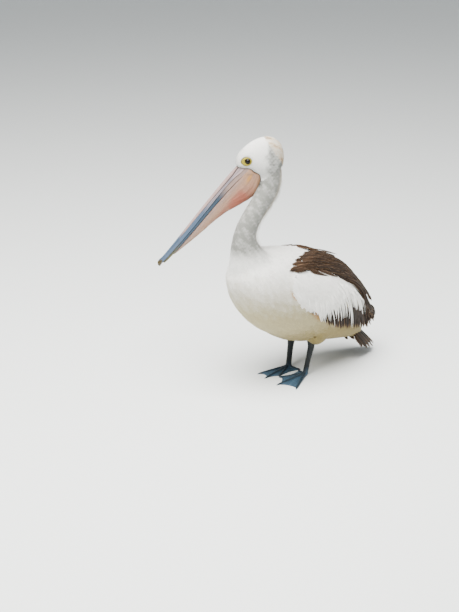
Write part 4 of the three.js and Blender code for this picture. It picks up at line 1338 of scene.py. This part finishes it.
class PELICAN_OT_wings(bpy.types.Operator):
    """Folded wings: dark flight feathers, white coverts over them and brown scapulars on top"""

    bl_idname = "pelican.wings"
    bl_label = "Wings"

    def execute(self, context):
        for side, name in ((1, "left"), (-1, "right")):
            self.flight(side, name)
            self.coverts(side, name)
            self.scapulars(side, name)
        return {"FINISHED"}

    def hanging(self, side, t, above, below, lifts):
        """Roots, middles, tips and ways out of nearly straight feathers down the wing.

        above and below say where their roots and tips lie, in mm above the dark feathers' ends."""
        end = row_at(FLIGHT_TIPS, t) * (side, 1, 1)
        lean = np.interp(t, LEAN_STEPS, LEANS)
        places = []
        # At the rear the roots stay below the wing's upper edge.
        above = np.minimum(above, np.interp(t, (0, 0.6, 0.75, 0.88, 1), (230, 178, 128, 84, 48)))
        below = np.minimum(below, above - 30)
        for high, lift in zip((above, (above + below) / 2, below), lifts):
            place = end + np.stack([0 * t, -lean * high, high], 1)
            near_t, near_v = plate_share(COVERTS, side, place)
            on = on_plate(COVERTS, near_t, np.clip(near_v, 0, 1), side)
            edge = on_plate(COVERTS, near_t, np.ones(len(t)), side)
            drop = np.clip((edge[:, 2] - place[:, 2]) / np.maximum(edge[:, 2] - end[:, 2], 1), 0, 1)
            place[:, 0] = on[:, 0] + (end[:, 0] - on[:, 0]) * drop
            out = plate_out(COVERTS, near_t, np.clip(near_v, 0.05, 0.9), side)
            places.append(place + out * lift)
        return (*places, unit(out + (0.35 * side, 0, 0)))

    def flight(self, side, name):
        rng = np.random.default_rng(41)
        count = 40
        t = np.linspace(0.05, 1, count)
        below = 11 * rng.random(count) ** 1.5
        start, middle, tip, out = self.hanging(side, t, dark_height(t) + 50, below, (-6.0, -4.0, -2.5))
        tip = tip + out * rng.uniform(-1.5, 1.5, (count, 1))
        lines = bent(start, middle, tip, 15)
        way = unit(tip - start)
        ups = np.repeat(unit(out + 0.12 * np.cross(way, out))[:, None], 15, 1)

        def colours(blades, rng, count):
            return dark_tones(blades, rng, TONES["black"], TONES["brown_edge"], count, 0.88)

        vanes("flight_vanes_" + name, lines, ups, 7.6, 42, colours, finish_of("brown_barbs"),
              ["flight_feathers_" + name], ragged=0.3)  # fmt: skip

    def coverts(self, side, name):
        hide = STORE["hide"]
        middles, labels = face_middles()
        mine = (labels == "coverts_" + name) & (middles[:, 0] * side > 20)
        out = vertex_normals(hide.points, hide.faces[:, [0, 1, 2]])[hide.faces[:, 0]]
        mine &= (out[:, 0] * side > -0.2) | (middles[:, 2] > 380)
        way = lie(WING_GUIDES)

        def upper(roots):
            """The small coverts stop where the long ones hang free."""
            t, high, off = over_ends(roots)
            return (high > dark_height(t) + 18) | (t < 0.06) | (off > 14)

        def whiter(colours, roots, rng):
            return paint(colours, TONES["white"], np.full(len(colours), 0.85))

        tufts("wing_coverts_small_" + name, mine, 4.3, 30.0, 4.0, BODY_DEPTH + 1.4, way, 51, jitter=0.05,
              loose=0.06, keep=upper, tint=whiter)  # fmt: skip
        # Long pointed coverts whose tips hang over the flight feathers.
        rng = np.random.default_rng(53)
        lines, ups, widths = [], [], []
        # How many feathers, how far their roots lie above the dark zone in mm, how far up the dark zone their
        # tips end as shares, how far root, middle and tip stand out, and the half width.
        layers = (
            (30, 40, (0.0, 0.5), (-5.0, -0.4, 0.2), 4.0),
            (36, 42, (0.55, 0.92), (-5.0, 0.4, 0.8), 3.9),
            (54, 55, (0.85, 1.05), (-5.0, 0.6, 0.8), 4.2),
            (58, 70, (1.08, 1.25), (-5.0, 0.6, 0.8), 4.2),
        )
        for count, above, (low, high), lifts, half in layers:
            t = np.clip(np.linspace(0.0, 0.9, count) + rng.uniform(-0.009, 0.009, count), 0, 1)
            share = low + (high - low) * rng.random(count)
            share = share + 0.25 * ramp(0.62, 0.9, t) * (low < 0.9)
            # In front the white feathers cover the dark ones altogether.
            share = share * ramp(-0.02, 0.17, t)
            tall = dark_height(t)
            start, middle, tip, out = self.hanging(side, t, tall + above, tall * share, lifts)
            lines.append(bent(start, middle, tip, 10))
            ups.append(np.repeat(out[:, None], 10, 1))
            widths.append(half * rng.uniform(0.75, 1.2, count) * (1 - 0.3 * ramp(0.6, 0.9, t)))
        # Broad feathers round the wing's front and lower edge, over the breast.
        count = 44
        t = np.clip(np.linspace(0.0, 0.32, count) + rng.uniform(-0.006, 0.006, count), 0, 1)
        root_v = rng.uniform(0.62, 0.86, count)
        out = plate_out(COVERTS, t, np.full(count, 0.9), side)
        start = on_plate(COVERTS, t, root_v, side) - out * 2.5
        tip = on_plate(COVERTS, t + 0.07, 1.0 + 0.07 * rng.random(count), side) + out * 1.5
        lines.append(bent(start, on_plate(COVERTS, t + 0.035, (root_v + 1) / 2, side) + out * 2.5, tip, 10))
        ups.append(np.repeat(out[:, None], 10, 1))
        widths.append(4.5 * rng.uniform(0.8, 1.2, count))
        lines, ups = np.concatenate(lines), np.concatenate(ups)

        def colours(blades, rng, count):
            along = blades["local"][:, 1]
            base = paint(plumage_tone(lines[:, 0]), TONES["white"], np.full(count, 0.85))[blades["owner"]]
            vary = rng.normal(1, 0.03, (count, 1))[blades["owner"]]
            return np.clip(base * vary * (0.94 + 0.06 * along[:, None]), 0, 1)

        vanes("wing_coverts_long_" + name, lines, ups, np.concatenate(widths), 54, colours,
              finish_of("white_barbs"), ["coverts_" + name], ragged=0.3, normals=0.5,
              thickness=0.6, profile=pointed)  # fmt: skip
        # Brown tertials down the wing's rear edge.
        count = 16
        u = np.linspace(0, 1, count)
        start = on_plate(SCAPULARS, 0.5 + 0.34 * u, 1.02 - 0.1 * u, side)
        tip = row_at(FLIGHT_TIPS, 0.76 + 0.24 * u) * (side, 1, 1)
        half_way = np.full(count, 0.5)
        over = on_plate(COVERTS, 0.82 + 0.14 * u, half_way, side)
        out = plate_out(COVERTS, 0.82 + 0.14 * u, half_way, side)
        tip = start + (tip - start) * rng.uniform(0.66, 0.98, (count, 1)) + out * 3
        lines = bent(start, over + out * 3.5, tip, 14)

        def dark(blades, rng, count):
            return dark_tones(blades, rng, TONES["brown"] * 0.8, TONES["brown_edge"] * 1.15, count, 0.7)

        vanes("tertials_" + name, lines, np.repeat(out[:, None], 14, 1), 6.8, 55, dark,
              finish_of("brown_barbs"), ragged=0.35)  # fmt: skip

    def scapulars(self, side, name):
        rng = np.random.default_rng(61)
        # Rows of lance-shaped feathers; those further back lie under the ones in front of them.
        foremost = -0.05 if side > 0 else 0.05
        steps = np.meshgrid(np.linspace(0.93, foremost, 25), np.linspace(-0.02, 1.0, 12))
        t, v = (grid.ravel() for grid in steps)
        t = t + rng.uniform(-0.018, 0.018, len(t)) + 0.02 * (np.arange(len(t)) // 25 % 2)
        v = v + rng.uniform(-0.045, 0.045, len(v))
        order = np.argsort(-t)
        t, v = t[order], v[order]
        count = len(t)
        reach = (0.13 + 0.05 * ramp(0.0, 0.5, t)) * rng.uniform(0.75, 1.25, count)
        reach = np.minimum(reach, np.maximum(1.06 - t, 0.05))
        drift = rng.normal(0.02, 0.05, count)
        share = np.linspace(0, 1, 9)
        places_t = np.clip(t, 0, 1)[:, None] + reach[:, None] * share
        places_v = v[:, None] + drift[:, None] * share
        flat_t, flat_v = places_t.ravel(), places_v.ravel()
        surface = on_plate(SCAPULARS, np.clip(flat_t, 0, 1), flat_v, side).reshape(count, 9, 3)
        out = plate_out(SCAPULARS, np.clip(flat_t, 0, 0.98), np.clip(flat_v, 0, 1), side).reshape(count, 9, 3)
        # Feathers whose roots lie before the plate start on the mantle, and those at its tip run on past it.
        before = np.clip(-t, 0, 1)[:, None, None] * (0, -420, 40) * (1 - share)[None, :, None]
        past = np.clip(places_t - 1, 0, 1)[..., None] * (0, 200, -300)
        lines = surface + before + past
        rises = -2.5 + (4.5 + 3.0 * rng.random(count))[:, None] * share[None] ** 0.7

        def colours(blades, rng, count):
            return dark_tones(blades, rng, TONES["brown"], TONES["brown_edge"], count)

        vanes("scapular_feathers_" + name, lines, out, 6.6 * rng.uniform(0.7, 1.2, count), 63, colours,
              finish_of("brown_barbs"), ["scapulars_" + name], lifts=rises,
              ragged=0.45, profile=slender)  # fmt: skip
        if side < 0:
            # The right side's loose plumes stand up from the back: a row, a bunch, and the two highest.
            count = 16
            u = np.sort(rng.random(count))
            start = np.stack([-72 + 34 * rng.random(count), 4 + 96 * u, 462 - 32 * u], 1)
            length = rng.uniform(75, 125, count)
            tip = start + np.stack([0.05 * length, 0.93 * length, (-0.27 - 0.1 * u) * length], 1)
            start[:, 2] -= 4
            bunch = (8, 3)
            bunch_start = np.array([-58.0, 104, 436]) + rng.uniform(-1, 1, bunch) * (9, 12, 3)
            bunch_tip = np.array([-52.0, 214, 398]) + rng.uniform(-1, 1, bunch) * (12, 20, 7)
            start = np.concatenate([start, bunch_start, [p[0] for p in RIGHT_PLUMES]])
            tip = np.concatenate([tip, bunch_tip, [p[1] for p in RIGHT_PLUMES]])
            middle = (start + tip) / 2 + (0, 0, 6)
            up = np.repeat(unit(np.array([[-0.3, 0.3, 1.0]])), len(start), 0)[:, None].repeat(12, 1)
            vanes("raised_scapulars", bent(start, middle, tip, 12), up, 8.5, 64, colours,
                  finish_of("brown_barbs"), ragged=0.4)  # fmt: skip


class PELICAN_OT_tail(bpy.types.Operator):
    """Short brown tail feathers in a fan"""

    bl_idname = "pelican.tail"
    bl_label = "Tail"

    def execute(self, context):
        rng = np.random.default_rng(71)
        count = 13
        a = np.linspace(-1, 1, count)
        order = np.argsort(-np.abs(a))
        a = a[order]
        round_rump = np.radians(108 * a)
        start = np.stack([62 * np.sin(round_rump), 228 + 0 * a, 124 + 44 * np.cos(round_rump)], 1)
        tip = np.stack([a * 66, 388 - 118 * a * a, 18 + 32 * a**4], 1)
        tip = tip + unit(tip - start) * rng.uniform(-12, 0, (count, 1))
        middle = start * 0.42 + tip * 0.58
        in_order = np.argsort(a)
        across = np.empty_like(middle)
        across[in_order] = np.gradient(middle[in_order], axis=0)
        facing = unit(np.cross(across, tip - start))
        facing = facing * np.sign((facing * (0, 0.3, 1.0)).sum(1))[:, None]
        tip = tip + facing * rng.uniform(-1.5, 1.5, (count, 1))
        lines = bent(start, middle + facing * 4, tip, 14)
        ups = np.repeat(facing[:, None], 14, 1)

        def colours(blades, rng, count):
            return dark_tones(blades, rng, TONES["tail_brown"], TONES["brown_edge"], count, 0.8)

        vanes("tail_feathers", lines, ups, 12.5, 72, colours, finish_of("brown_barbs"),
              ["tail"], ragged=0.35)  # fmt: skip
        return {"FINISHED"}


# ---------------------------------------------------------------- bill and eyes
# Sections from the face to the tip, each led by how far forward it is. The upper bill's have top, half the
# ridge's width, groove, half width and edge; the lower bill's top, bottom and half width; the nail's top,
# bottom, half width and the height of its widest place.
UPPER_BILL = [
    [42, 34, 11, 33, 30, 14], [75, 36.5, 9.5, 32.5, 28, 17], [100, 38, 9, 29, 26.5, 21],
    [135, 38.2, 8.5, 27.8, 24.6, 22.6], [200, 37, 8, 27.2, 21.5, 21.4], [265, 35, 7.5, 26.4, 18.6, 18.2],
    [330, 32.6, 7, 25.2, 16.8, 15], [400, 29.2, 6.6, 23, 15.2, 13.6], [450, 27.6, 6.2, 21.8, 14.2, 12.8],
    [482, 27.2, 6, 21.6, 13.4, 13.4], [504, 28.4, 6, 22.6, 12, 14.4],
]  # fmt: skip
LOWER_BILL = [
    [44, 13, 0, 31], [62, 15.5, 0.5, 29.8], [80, 16.8, 2, 27.4], [104, 20.2, 5, 25.6], [135, 21.8, 7, 23.8],
    [200, 20.6, 7.2, 20.8], [265, 17.4, 6.4, 17.8], [330, 14.2, 5.4, 16], [400, 12.8, 5, 14.4],
    [450, 12, 5.2, 13.3], [485, 12.7, 6.6, 12], [502, 13.4, 9, 9],
]  # fmt: skip
NAIL = [[499, 28.8, 14, 11.4, 20], [508, 29.4, 13, 10, 20], [516, 28, 12, 8.4, 19], [521, 24.5, 11.5, 6, 17],
        [524, 20, 13, 3, 16]]  # fmt: skip


def upper_section(top, ridge, groove, half, edge):
    """Half an outline of the upper bill: its ridge, the groove, the side plate and the underside."""
    zero = np.zeros_like(top)
    return [
        (zero, top),
        (ridge * 0.6, top - 0.1 * (top - groove)),
        (ridge, (top + groove) / 2),
        (ridge + 0.9, groove - 0.5),
        (ridge + 2.6, groove + 0.7),
        (ridge + (half - ridge) * 0.65, groove + (edge - groove) * 0.32),
        (half, edge + 1),
        (half - 0.8, edge),
        (zero, edge - 0.4),
    ]


def lower_section(top, bottom, half):
    """Half an outline of the lower bill, a rounded bar."""
    zero = np.zeros_like(top)
    return [
        (zero, top),
        (half * 0.94, top),
        (half, top + (bottom - top) * 0.25),
        (half, top + (bottom - top) * 0.7),
        (half * 0.93, bottom),
        (zero, bottom),
    ]


def oval_section(top, bottom, half, mid):
    """Half an outline of the nail."""
    outline = []
    for angle in np.linspace(0, math.pi, 9):
        reach = np.where(angle < math.pi / 2, top - mid, mid - bottom)
        outline.append((half * math.sin(angle), mid + reach * math.cos(angle)))
    return outline


def bar(rows, section, steps, around):
    """A bar along the bill: places in the head's frame, its faces, and how far round each place lies."""
    table = row_at(rows, np.linspace(0, 1, steps))
    outline = np.array([np.stack(pair, -1) for pair in section(*table[:, 1:].T)])
    corners = len(outline)
    share = np.linspace(0, 1, around)
    half = row_at(outline.reshape(corners, -1), share).reshape(around, steps, 2)
    half[0, :, 0] = half[-1, :, 0] = 0
    ring = np.concatenate([half, half[-2:0:-1] * (-1, 1)])
    round_share = np.concatenate([share, share[-2:0:-1]])
    count = len(ring)
    ahead = np.broadcast_to(table[:, 0], (count, steps))
    points = np.stack([ring[..., 0], -ahead, ring[..., 1]], -1).transpose(1, 0, 2).reshape(-1, 3)
    ends = np.stack([points[:count].mean(0), points[-count:].mean(0)])
    points = np.concatenate([points, ends])
    place = np.concatenate([np.tile(round_share, steps), [0.5, 0.5]])
    return points, [ring_faces(steps, count), end_fans(steps, count)], place


def horn_piece(name, shape, tones, material, replaced):
    """A bare piece of horn, whose grain follows the head's frame."""
    points, groups, _ = shape
    mesh = raw_mesh(name, from_head(points), groups)
    note(mesh, "tone", np.clip(tones, 0, 1))
    note(mesh, "vane", points * MM)
    return add_piece(name, mesh, [material], replaced)


class PELICAN_OT_bill(bpy.types.Operator):
    """Upper bill with its ridge, groove and side plates, hooked nail and lower bill"""

    bl_idname = "pelican.bill"
    bl_label = "Bill"

    def execute(self, context):
        shape = bar(UPPER_BILL, upper_section, 260, 49)
        points, _, share = shape
        ahead = -points[:, 1]
        colours = np.tile(TONES["bill_pale"], (len(points), 1))
        colours = paint(colours, TONES["bill_blue"], ramp(205, 290, ahead) * 0.95)
        colours = paint(colours, TONES["slate"], 0.55 * ramp(0.72, 0.8, share) * ramp(230, 330, ahead))
        colours = paint(colours, TONES["bill_pink"], 0.5 * ramp(130, 80, ahead))
        on_ridge = 1 - ramp(0.3, 0.36, share)
        colours = paint(colours, TONES["bill_pink"], on_ridge)
        colours = paint(colours, TONES["bill_blue"], on_ridge * ramp(350, 410, ahead))
        # Painted shade: the nasal groove is painted near-black for the shade in it.
        lower = 0.5 + 0.07 * ramp(300, 80, ahead)
        in_groove = ramp(0.3, 0.34, share) * (1 - ramp(lower - 0.015, lower + 0.015, share))
        line = in_groove * ramp(480, 400, ahead)
        colours = paint(colours, TONES["groove"], 0.93 * line)
        second = np.exp(-(((share - 0.66) / 0.022) ** 2)) * band(80, 330, 50, ahead)
        colours = paint(colours, TONES["slate"], 0.6 * second)
        # Painted shade: the horn darkens within a few mm of the feather line.
        colours = paint(colours, TONES["edge"], 0.9 * ramp(3.6, 1.2, edge_gap(ahead, points[:, 2])))
        colours = paint(colours, TONES["gold"], 0.8 * ramp(0.7, 0.76, share) * ramp(390, 430, ahead))
        # Painted shade: the upper bill's lower edge is near-black along the gape.
        colours = paint(colours, TONES["groove"], 0.8 * ramp(0.8, 0.85, share) * ramp(470, 380, ahead))
        horn_piece("bill_upper_horn", shape, colours, finish_of("bill_horn"), ["bill_upper"])

        shape = bar(LOWER_BILL, lower_section, 220, 31)
        points, _, share = shape
        ahead = -points[:, 1]
        colours = np.tile(TONES["pouch"], (len(points), 1))
        colours = paint(colours, TONES["bill_pale"], np.full(len(points), 0.5))
        colours = paint(colours, TONES["slate"], ramp(135, 205, ahead))
        colours = paint(colours, TONES["olive"], 0.8 * ramp(395, 470, ahead))
        # Painted shade: the top of the lower bill, under the upper bill, is near-black, and the horn darkens
        # at the feather line.
        colours = paint(colours, TONES["groove"], 0.8 * (1 - ramp(0.2, 0.3, share)))
        colours = paint(colours, TONES["edge"], 0.9 * ramp(3.6, 1.2, edge_gap(ahead, points[:, 2])))
        horn_piece("bill_lower_horn", shape, colours, finish_of("bill_horn"), ["bill_lower"])

        shape = bar(NAIL, oval_section, 40, 25)
        points, _, share = shape
        colours = np.tile(TONES["gold"], (len(points), 1))
        # Painted highlight: a pale blue spot on the nail's top.
        top = spot(-points[:, 1], points[:, 2], (500, 29), (7, 4))
        colours = paint(colours, TONES["bill_blue"], 0.8 * top)
        horn_piece("bill_nail_horn", shape, colours, finish_of("nail_horn"), ["bill_nail"])
        return {"FINISHED"}


class PELICAN_OT_eyes(bpy.types.Operator):
    """Eyeballs with a bulging cornea"""

    bl_idname = "pelican.eyes"
    bl_label = "Eyes"

    def execute(self, context):
        for side, name in ((1, "left"), (-1, "right")):
            axis = EYE_AXIS * (side, 1, 1)
            left = unit(np.cross(axis, (0, 0, 1.0)))
            up = np.cross(left, axis)
            rounds = 48
            tilt = np.radians(np.concatenate([np.linspace(2, 52, 22), np.linspace(60, 178, 14)]))
            angle = np.linspace(0, 2 * math.pi, rounds, endpoint=False)
            bulge = EYE_RADIUS - 0.1 + 0.7 * (1 - ramp(15, 44, np.degrees(tilt)))
            ring = np.cos(angle)[None, :, None] * left + np.sin(angle)[None, :, None] * up
            way = ring * np.sin(tilt)[:, None, None] + axis * np.cos(tilt)[:, None, None]
            grid = way * bulge[:, None, None]
            poles = np.stack([axis * bulge[0], -axis * bulge[-1]])
            points = np.concatenate([grid.reshape(-1, 3), poles]) + EYE_PLACE * (side, 1, 1)
            groups = [ring_faces(len(tilt), rounds), end_fans(len(tilt), rounds)]
            # Degrees from the eye's axis: the pupil's edge lies near 28 and the iris's near 48.
            spread = np.concatenate([np.repeat(np.degrees(tilt), rounds), [0, 180]])
            colours = np.tile(TONES["iris"], (len(points), 1))
            colours = paint(colours, TONES["pupil"], 1 - ramp(26, 30, spread))
            colours = paint(colours, TONES["eye_rim"], ramp(44, 52, spread))
            mesh = raw_mesh("eyeball_" + name, from_head(points), groups)
            note(mesh, "tone", colours)
            turn = np.concatenate([np.tile(np.cos(angle), len(tilt)), [0, 0]])
            note(mesh, "vane", np.stack([turn, spread / 40, turn], 1))
            add_piece("eyeball_" + name, mesh, [finish_of("eye")], ["eye_" + name])
        return {"FINISHED"}


# ---------------------------------------------------------------- stage
# The camera looks from this far round the bird's left side and this far up, in degrees, at this many
# metres from a place in the bird.
CAMERA_TURN = 50.0
CAMERA_RISE = 19.5
CAMERA_DISTANCE = 5.2
CAMERA_TARGET = (0, -40, 400)


def way_to(turn, rise):
    """The way to a place that lies turn round from the bird's front and rise up, in radians."""
    return Vector((math.sin(turn) * math.cos(rise), -math.cos(turn) * math.cos(rise), math.sin(rise)))


def aimed(place, look):
    """The matrix of a lamp or camera at a place that looks along a way."""
    return Matrix.Translation(place) @ look.to_track_quat("-Z", "Y").to_matrix().to_4x4()


class PELICAN_OT_stage(bpy.types.Operator):
    """Pale floor that curves up far away, soft lights and the camera"""

    bl_idname = "pelican.stage"
    bl_label = "Stage"

    def execute(self, context):
        scene = context.scene
        settings = scene.pelican_stage
        rounds = 96
        # The floor's rings, in metres from its middle.
        radii = np.concatenate([[0.3], np.linspace(1, 9, 9), np.linspace(9.3, 14, 16)])
        height = 5.5 * ramp(9, 14, radii) ** 1.2
        angle = np.linspace(0, 2 * math.pi, rounds, endpoint=False)
        grid = np.stack([radii[:, None] * np.cos(angle), radii[:, None] * np.sin(angle),
                         np.repeat(height[:, None], rounds, 1)], -1)  # fmt: skip
        points = np.concatenate([grid.reshape(-1, 3), [[0, 0, 0]]]) / MM - SHIFT
        first = np.arange(rounds)
        fan = np.stack([first, np.roll(first, -1), np.full(rounds, len(points) - 1)], -1)
        points[:, 2] = points[:, 2] + SHIFT[2]
        mesh = raw_mesh("studio_floor", points, [ring_faces_inward(len(radii), rounds), fan])
        material, tree, shader = new_material("matt_studio_paint")
        # Matt wall paint: dull, with a faint roller grain.
        place = node(tree, "ShaderNodeTexCoord").outputs["Object"]
        grain = node(tree, "ShaderNodeTexNoise", None, Vector=place, Scale=60.0, Detail=3.0).outputs[0]
        colour = node(tree, "ShaderNodeMix", {"data_type": "RGBA"}, Factor=grain)
        colour.inputs[6].default_value = (*settings.floor_colour, 1)
        colour.inputs[7].default_value = (*[c * 0.97 for c in settings.floor_colour], 1)
        tree.links.new(colour.outputs[2], shader.inputs["Base Color"])
        shader.inputs["Roughness"].default_value = 0.9
        mesh.materials.append(material)
        mesh.polygons.foreach_set("use_smooth", np.full(len(mesh.polygons), True))
        floor = bpy.data.objects.new("studio_floor", mesh)
        scene.collection.objects.link(floor)

        world = bpy.data.worlds.new("studio_air")
        world.use_nodes = True
        world.node_tree.nodes["Background"].inputs["Color"].default_value = (*tone("#E8EEF2"), 1)
        world.node_tree.nodes["Background"].inputs["Strength"].default_value = settings.air_strength
        scene.world = world
        self.lamp("sky_panel", (0.6, -1.0, 4.2), (0, 0, 0.4), 4.0, settings.sky_power)
        self.lamp("key_panel", (1.5, -4.2, 3.0), (0, 0, 0.5), 1.8, settings.key_power)

        turn = math.radians(CAMERA_TURN)
        rise = math.radians(CAMERA_RISE)
        place = Vector(to_row(CAMERA_TARGET)) + way_to(turn, rise) * CAMERA_DISTANCE
        camera_data = bpy.data.cameras.new("camera")
        camera_data.lens = 85
        camera_data.sensor_width = 36
        camera_data.clip_end = 60
        camera = bpy.data.objects.new("camera", camera_data)
        scene.collection.objects.link(camera)
        aim_turn = turn + math.radians(settings.aim_turn)
        aim_rise = rise + math.radians(settings.aim_drop)
        camera.matrix_world = aimed(place, -way_to(aim_turn, aim_rise))
        scene.camera = camera
        return {"FINISHED"}

    def lamp(self, name, place, target, size, power):
        """A round soft light of a size in metres and a power in watts."""
        data = bpy.data.lights.new(name, "AREA")
        data.shape = "DISK"
        data.size = size
        data.energy = power
        data.color = tuple(tone("#FFFDF8"))
        lamp = bpy.data.objects.new(name, data)
        bpy.context.scene.collection.objects.link(lamp)
        lamp.matrix_world = aimed(place, Vector(target) - Vector(place))


# ---------------------------------------------------------------- settings, panel and registration
class PelicanPlumageSettings(bpy.types.PropertyGroup):
    """Sizes of the skin and its plumage"""

    skin_mesh: FloatProperty(name="Skin mesh", description="Size of the faces of the skin", default=3.5 * MM,
                             subtype="DISTANCE", unit="LENGTH")  # fmt: skip
    body_spacing: FloatProperty(name="Body spacing", description="Gap between the roots of the body's tufts",
                                default=3.7 * MM, subtype="DISTANCE", unit="LENGTH")  # fmt: skip
    body_length: FloatProperty(name="Body length", description="Length of the body's tufts", default=26 * MM,
                               subtype="DISTANCE", unit="LENGTH")  # fmt: skip
    neck_spacing: FloatProperty(name="Neck spacing", description="Gap between the roots of the neck's tufts",
                                default=1.9 * MM, subtype="DISTANCE", unit="LENGTH")  # fmt: skip
    head_spacing: FloatProperty(name="Head spacing", description="Gap between the roots of the head's tufts",
                                default=1.45 * MM, subtype="DISTANCE", unit="LENGTH")  # fmt: skip


class PelicanStageSettings(bpy.types.PropertyGroup):
    """Floor, lights and camera"""

    floor_colour: FloatVectorProperty(name="Floor colour", description="Paint of the studio floor",
                                      default=tuple(tone("#DDE0E0")), subtype="COLOR", size=3)  # fmt: skip
    air_strength: FloatProperty(name="Air", description="Strength of the light from all round", default=0.55)
    sky_power: FloatProperty(name="Sky panel", description="Power of the panel overhead", default=900,
                             unit="POWER")  # fmt: skip
    key_power: FloatProperty(name="Key panel", description="Power of the panel beside the camera",
                             default=150, unit="POWER")  # fmt: skip
    aim_turn: FloatProperty(name="Aim turn", description="Degrees that the camera turns off the bird",
                            default=2.534)  # fmt: skip
    aim_drop: FloatProperty(name="Aim drop", description="Degrees that the camera tips down", default=1.365)


MAKERS = (
    PELICAN_OT_stage,
    PELICAN_OT_skin,
    PELICAN_OT_eyes,
    PELICAN_OT_bill,
    PELICAN_OT_body_plumage,
    PELICAN_OT_head_plumage,
    PELICAN_OT_wings,
    PELICAN_OT_tail,
)


class PELICAN_PT_panel(bpy.types.Panel):
    """The pelican's pieces and settings"""

    bl_idname = "PELICAN_PT_panel"
    bl_label = "Pelican"
    bl_space_type = "VIEW_3D"
    bl_region_type = "UI"
    bl_category = "Pelican"

    def draw(self, context):
        for maker in MAKERS:
            self.layout.operator(maker.bl_idname)
        for settings in (context.scene.pelican_plumage, context.scene.pelican_stage):
            for name in settings.__annotations__:
                self.layout.prop(settings, name)


CLASSES = (PelicanPlumageSettings, PelicanStageSettings, *MAKERS, PELICAN_PT_panel)


def register():
    for kind in CLASSES:
        bpy.utils.register_class(kind)
    bpy.types.Scene.pelican_plumage = PointerProperty(type=PelicanPlumageSettings)
    bpy.types.Scene.pelican_stage = PointerProperty(type=PelicanStageSettings)


def unregister():
    del bpy.types.Scene.pelican_stage
    del bpy.types.Scene.pelican_plumage
    for kind in reversed(CLASSES):
        bpy.utils.unregister_class(kind)


def main():
    register()
    for maker in MAKERS:
        group, name = maker.bl_idname.split(".")
        getattr(getattr(bpy.ops, group), name)()


if __name__ == "__main__":
    main()
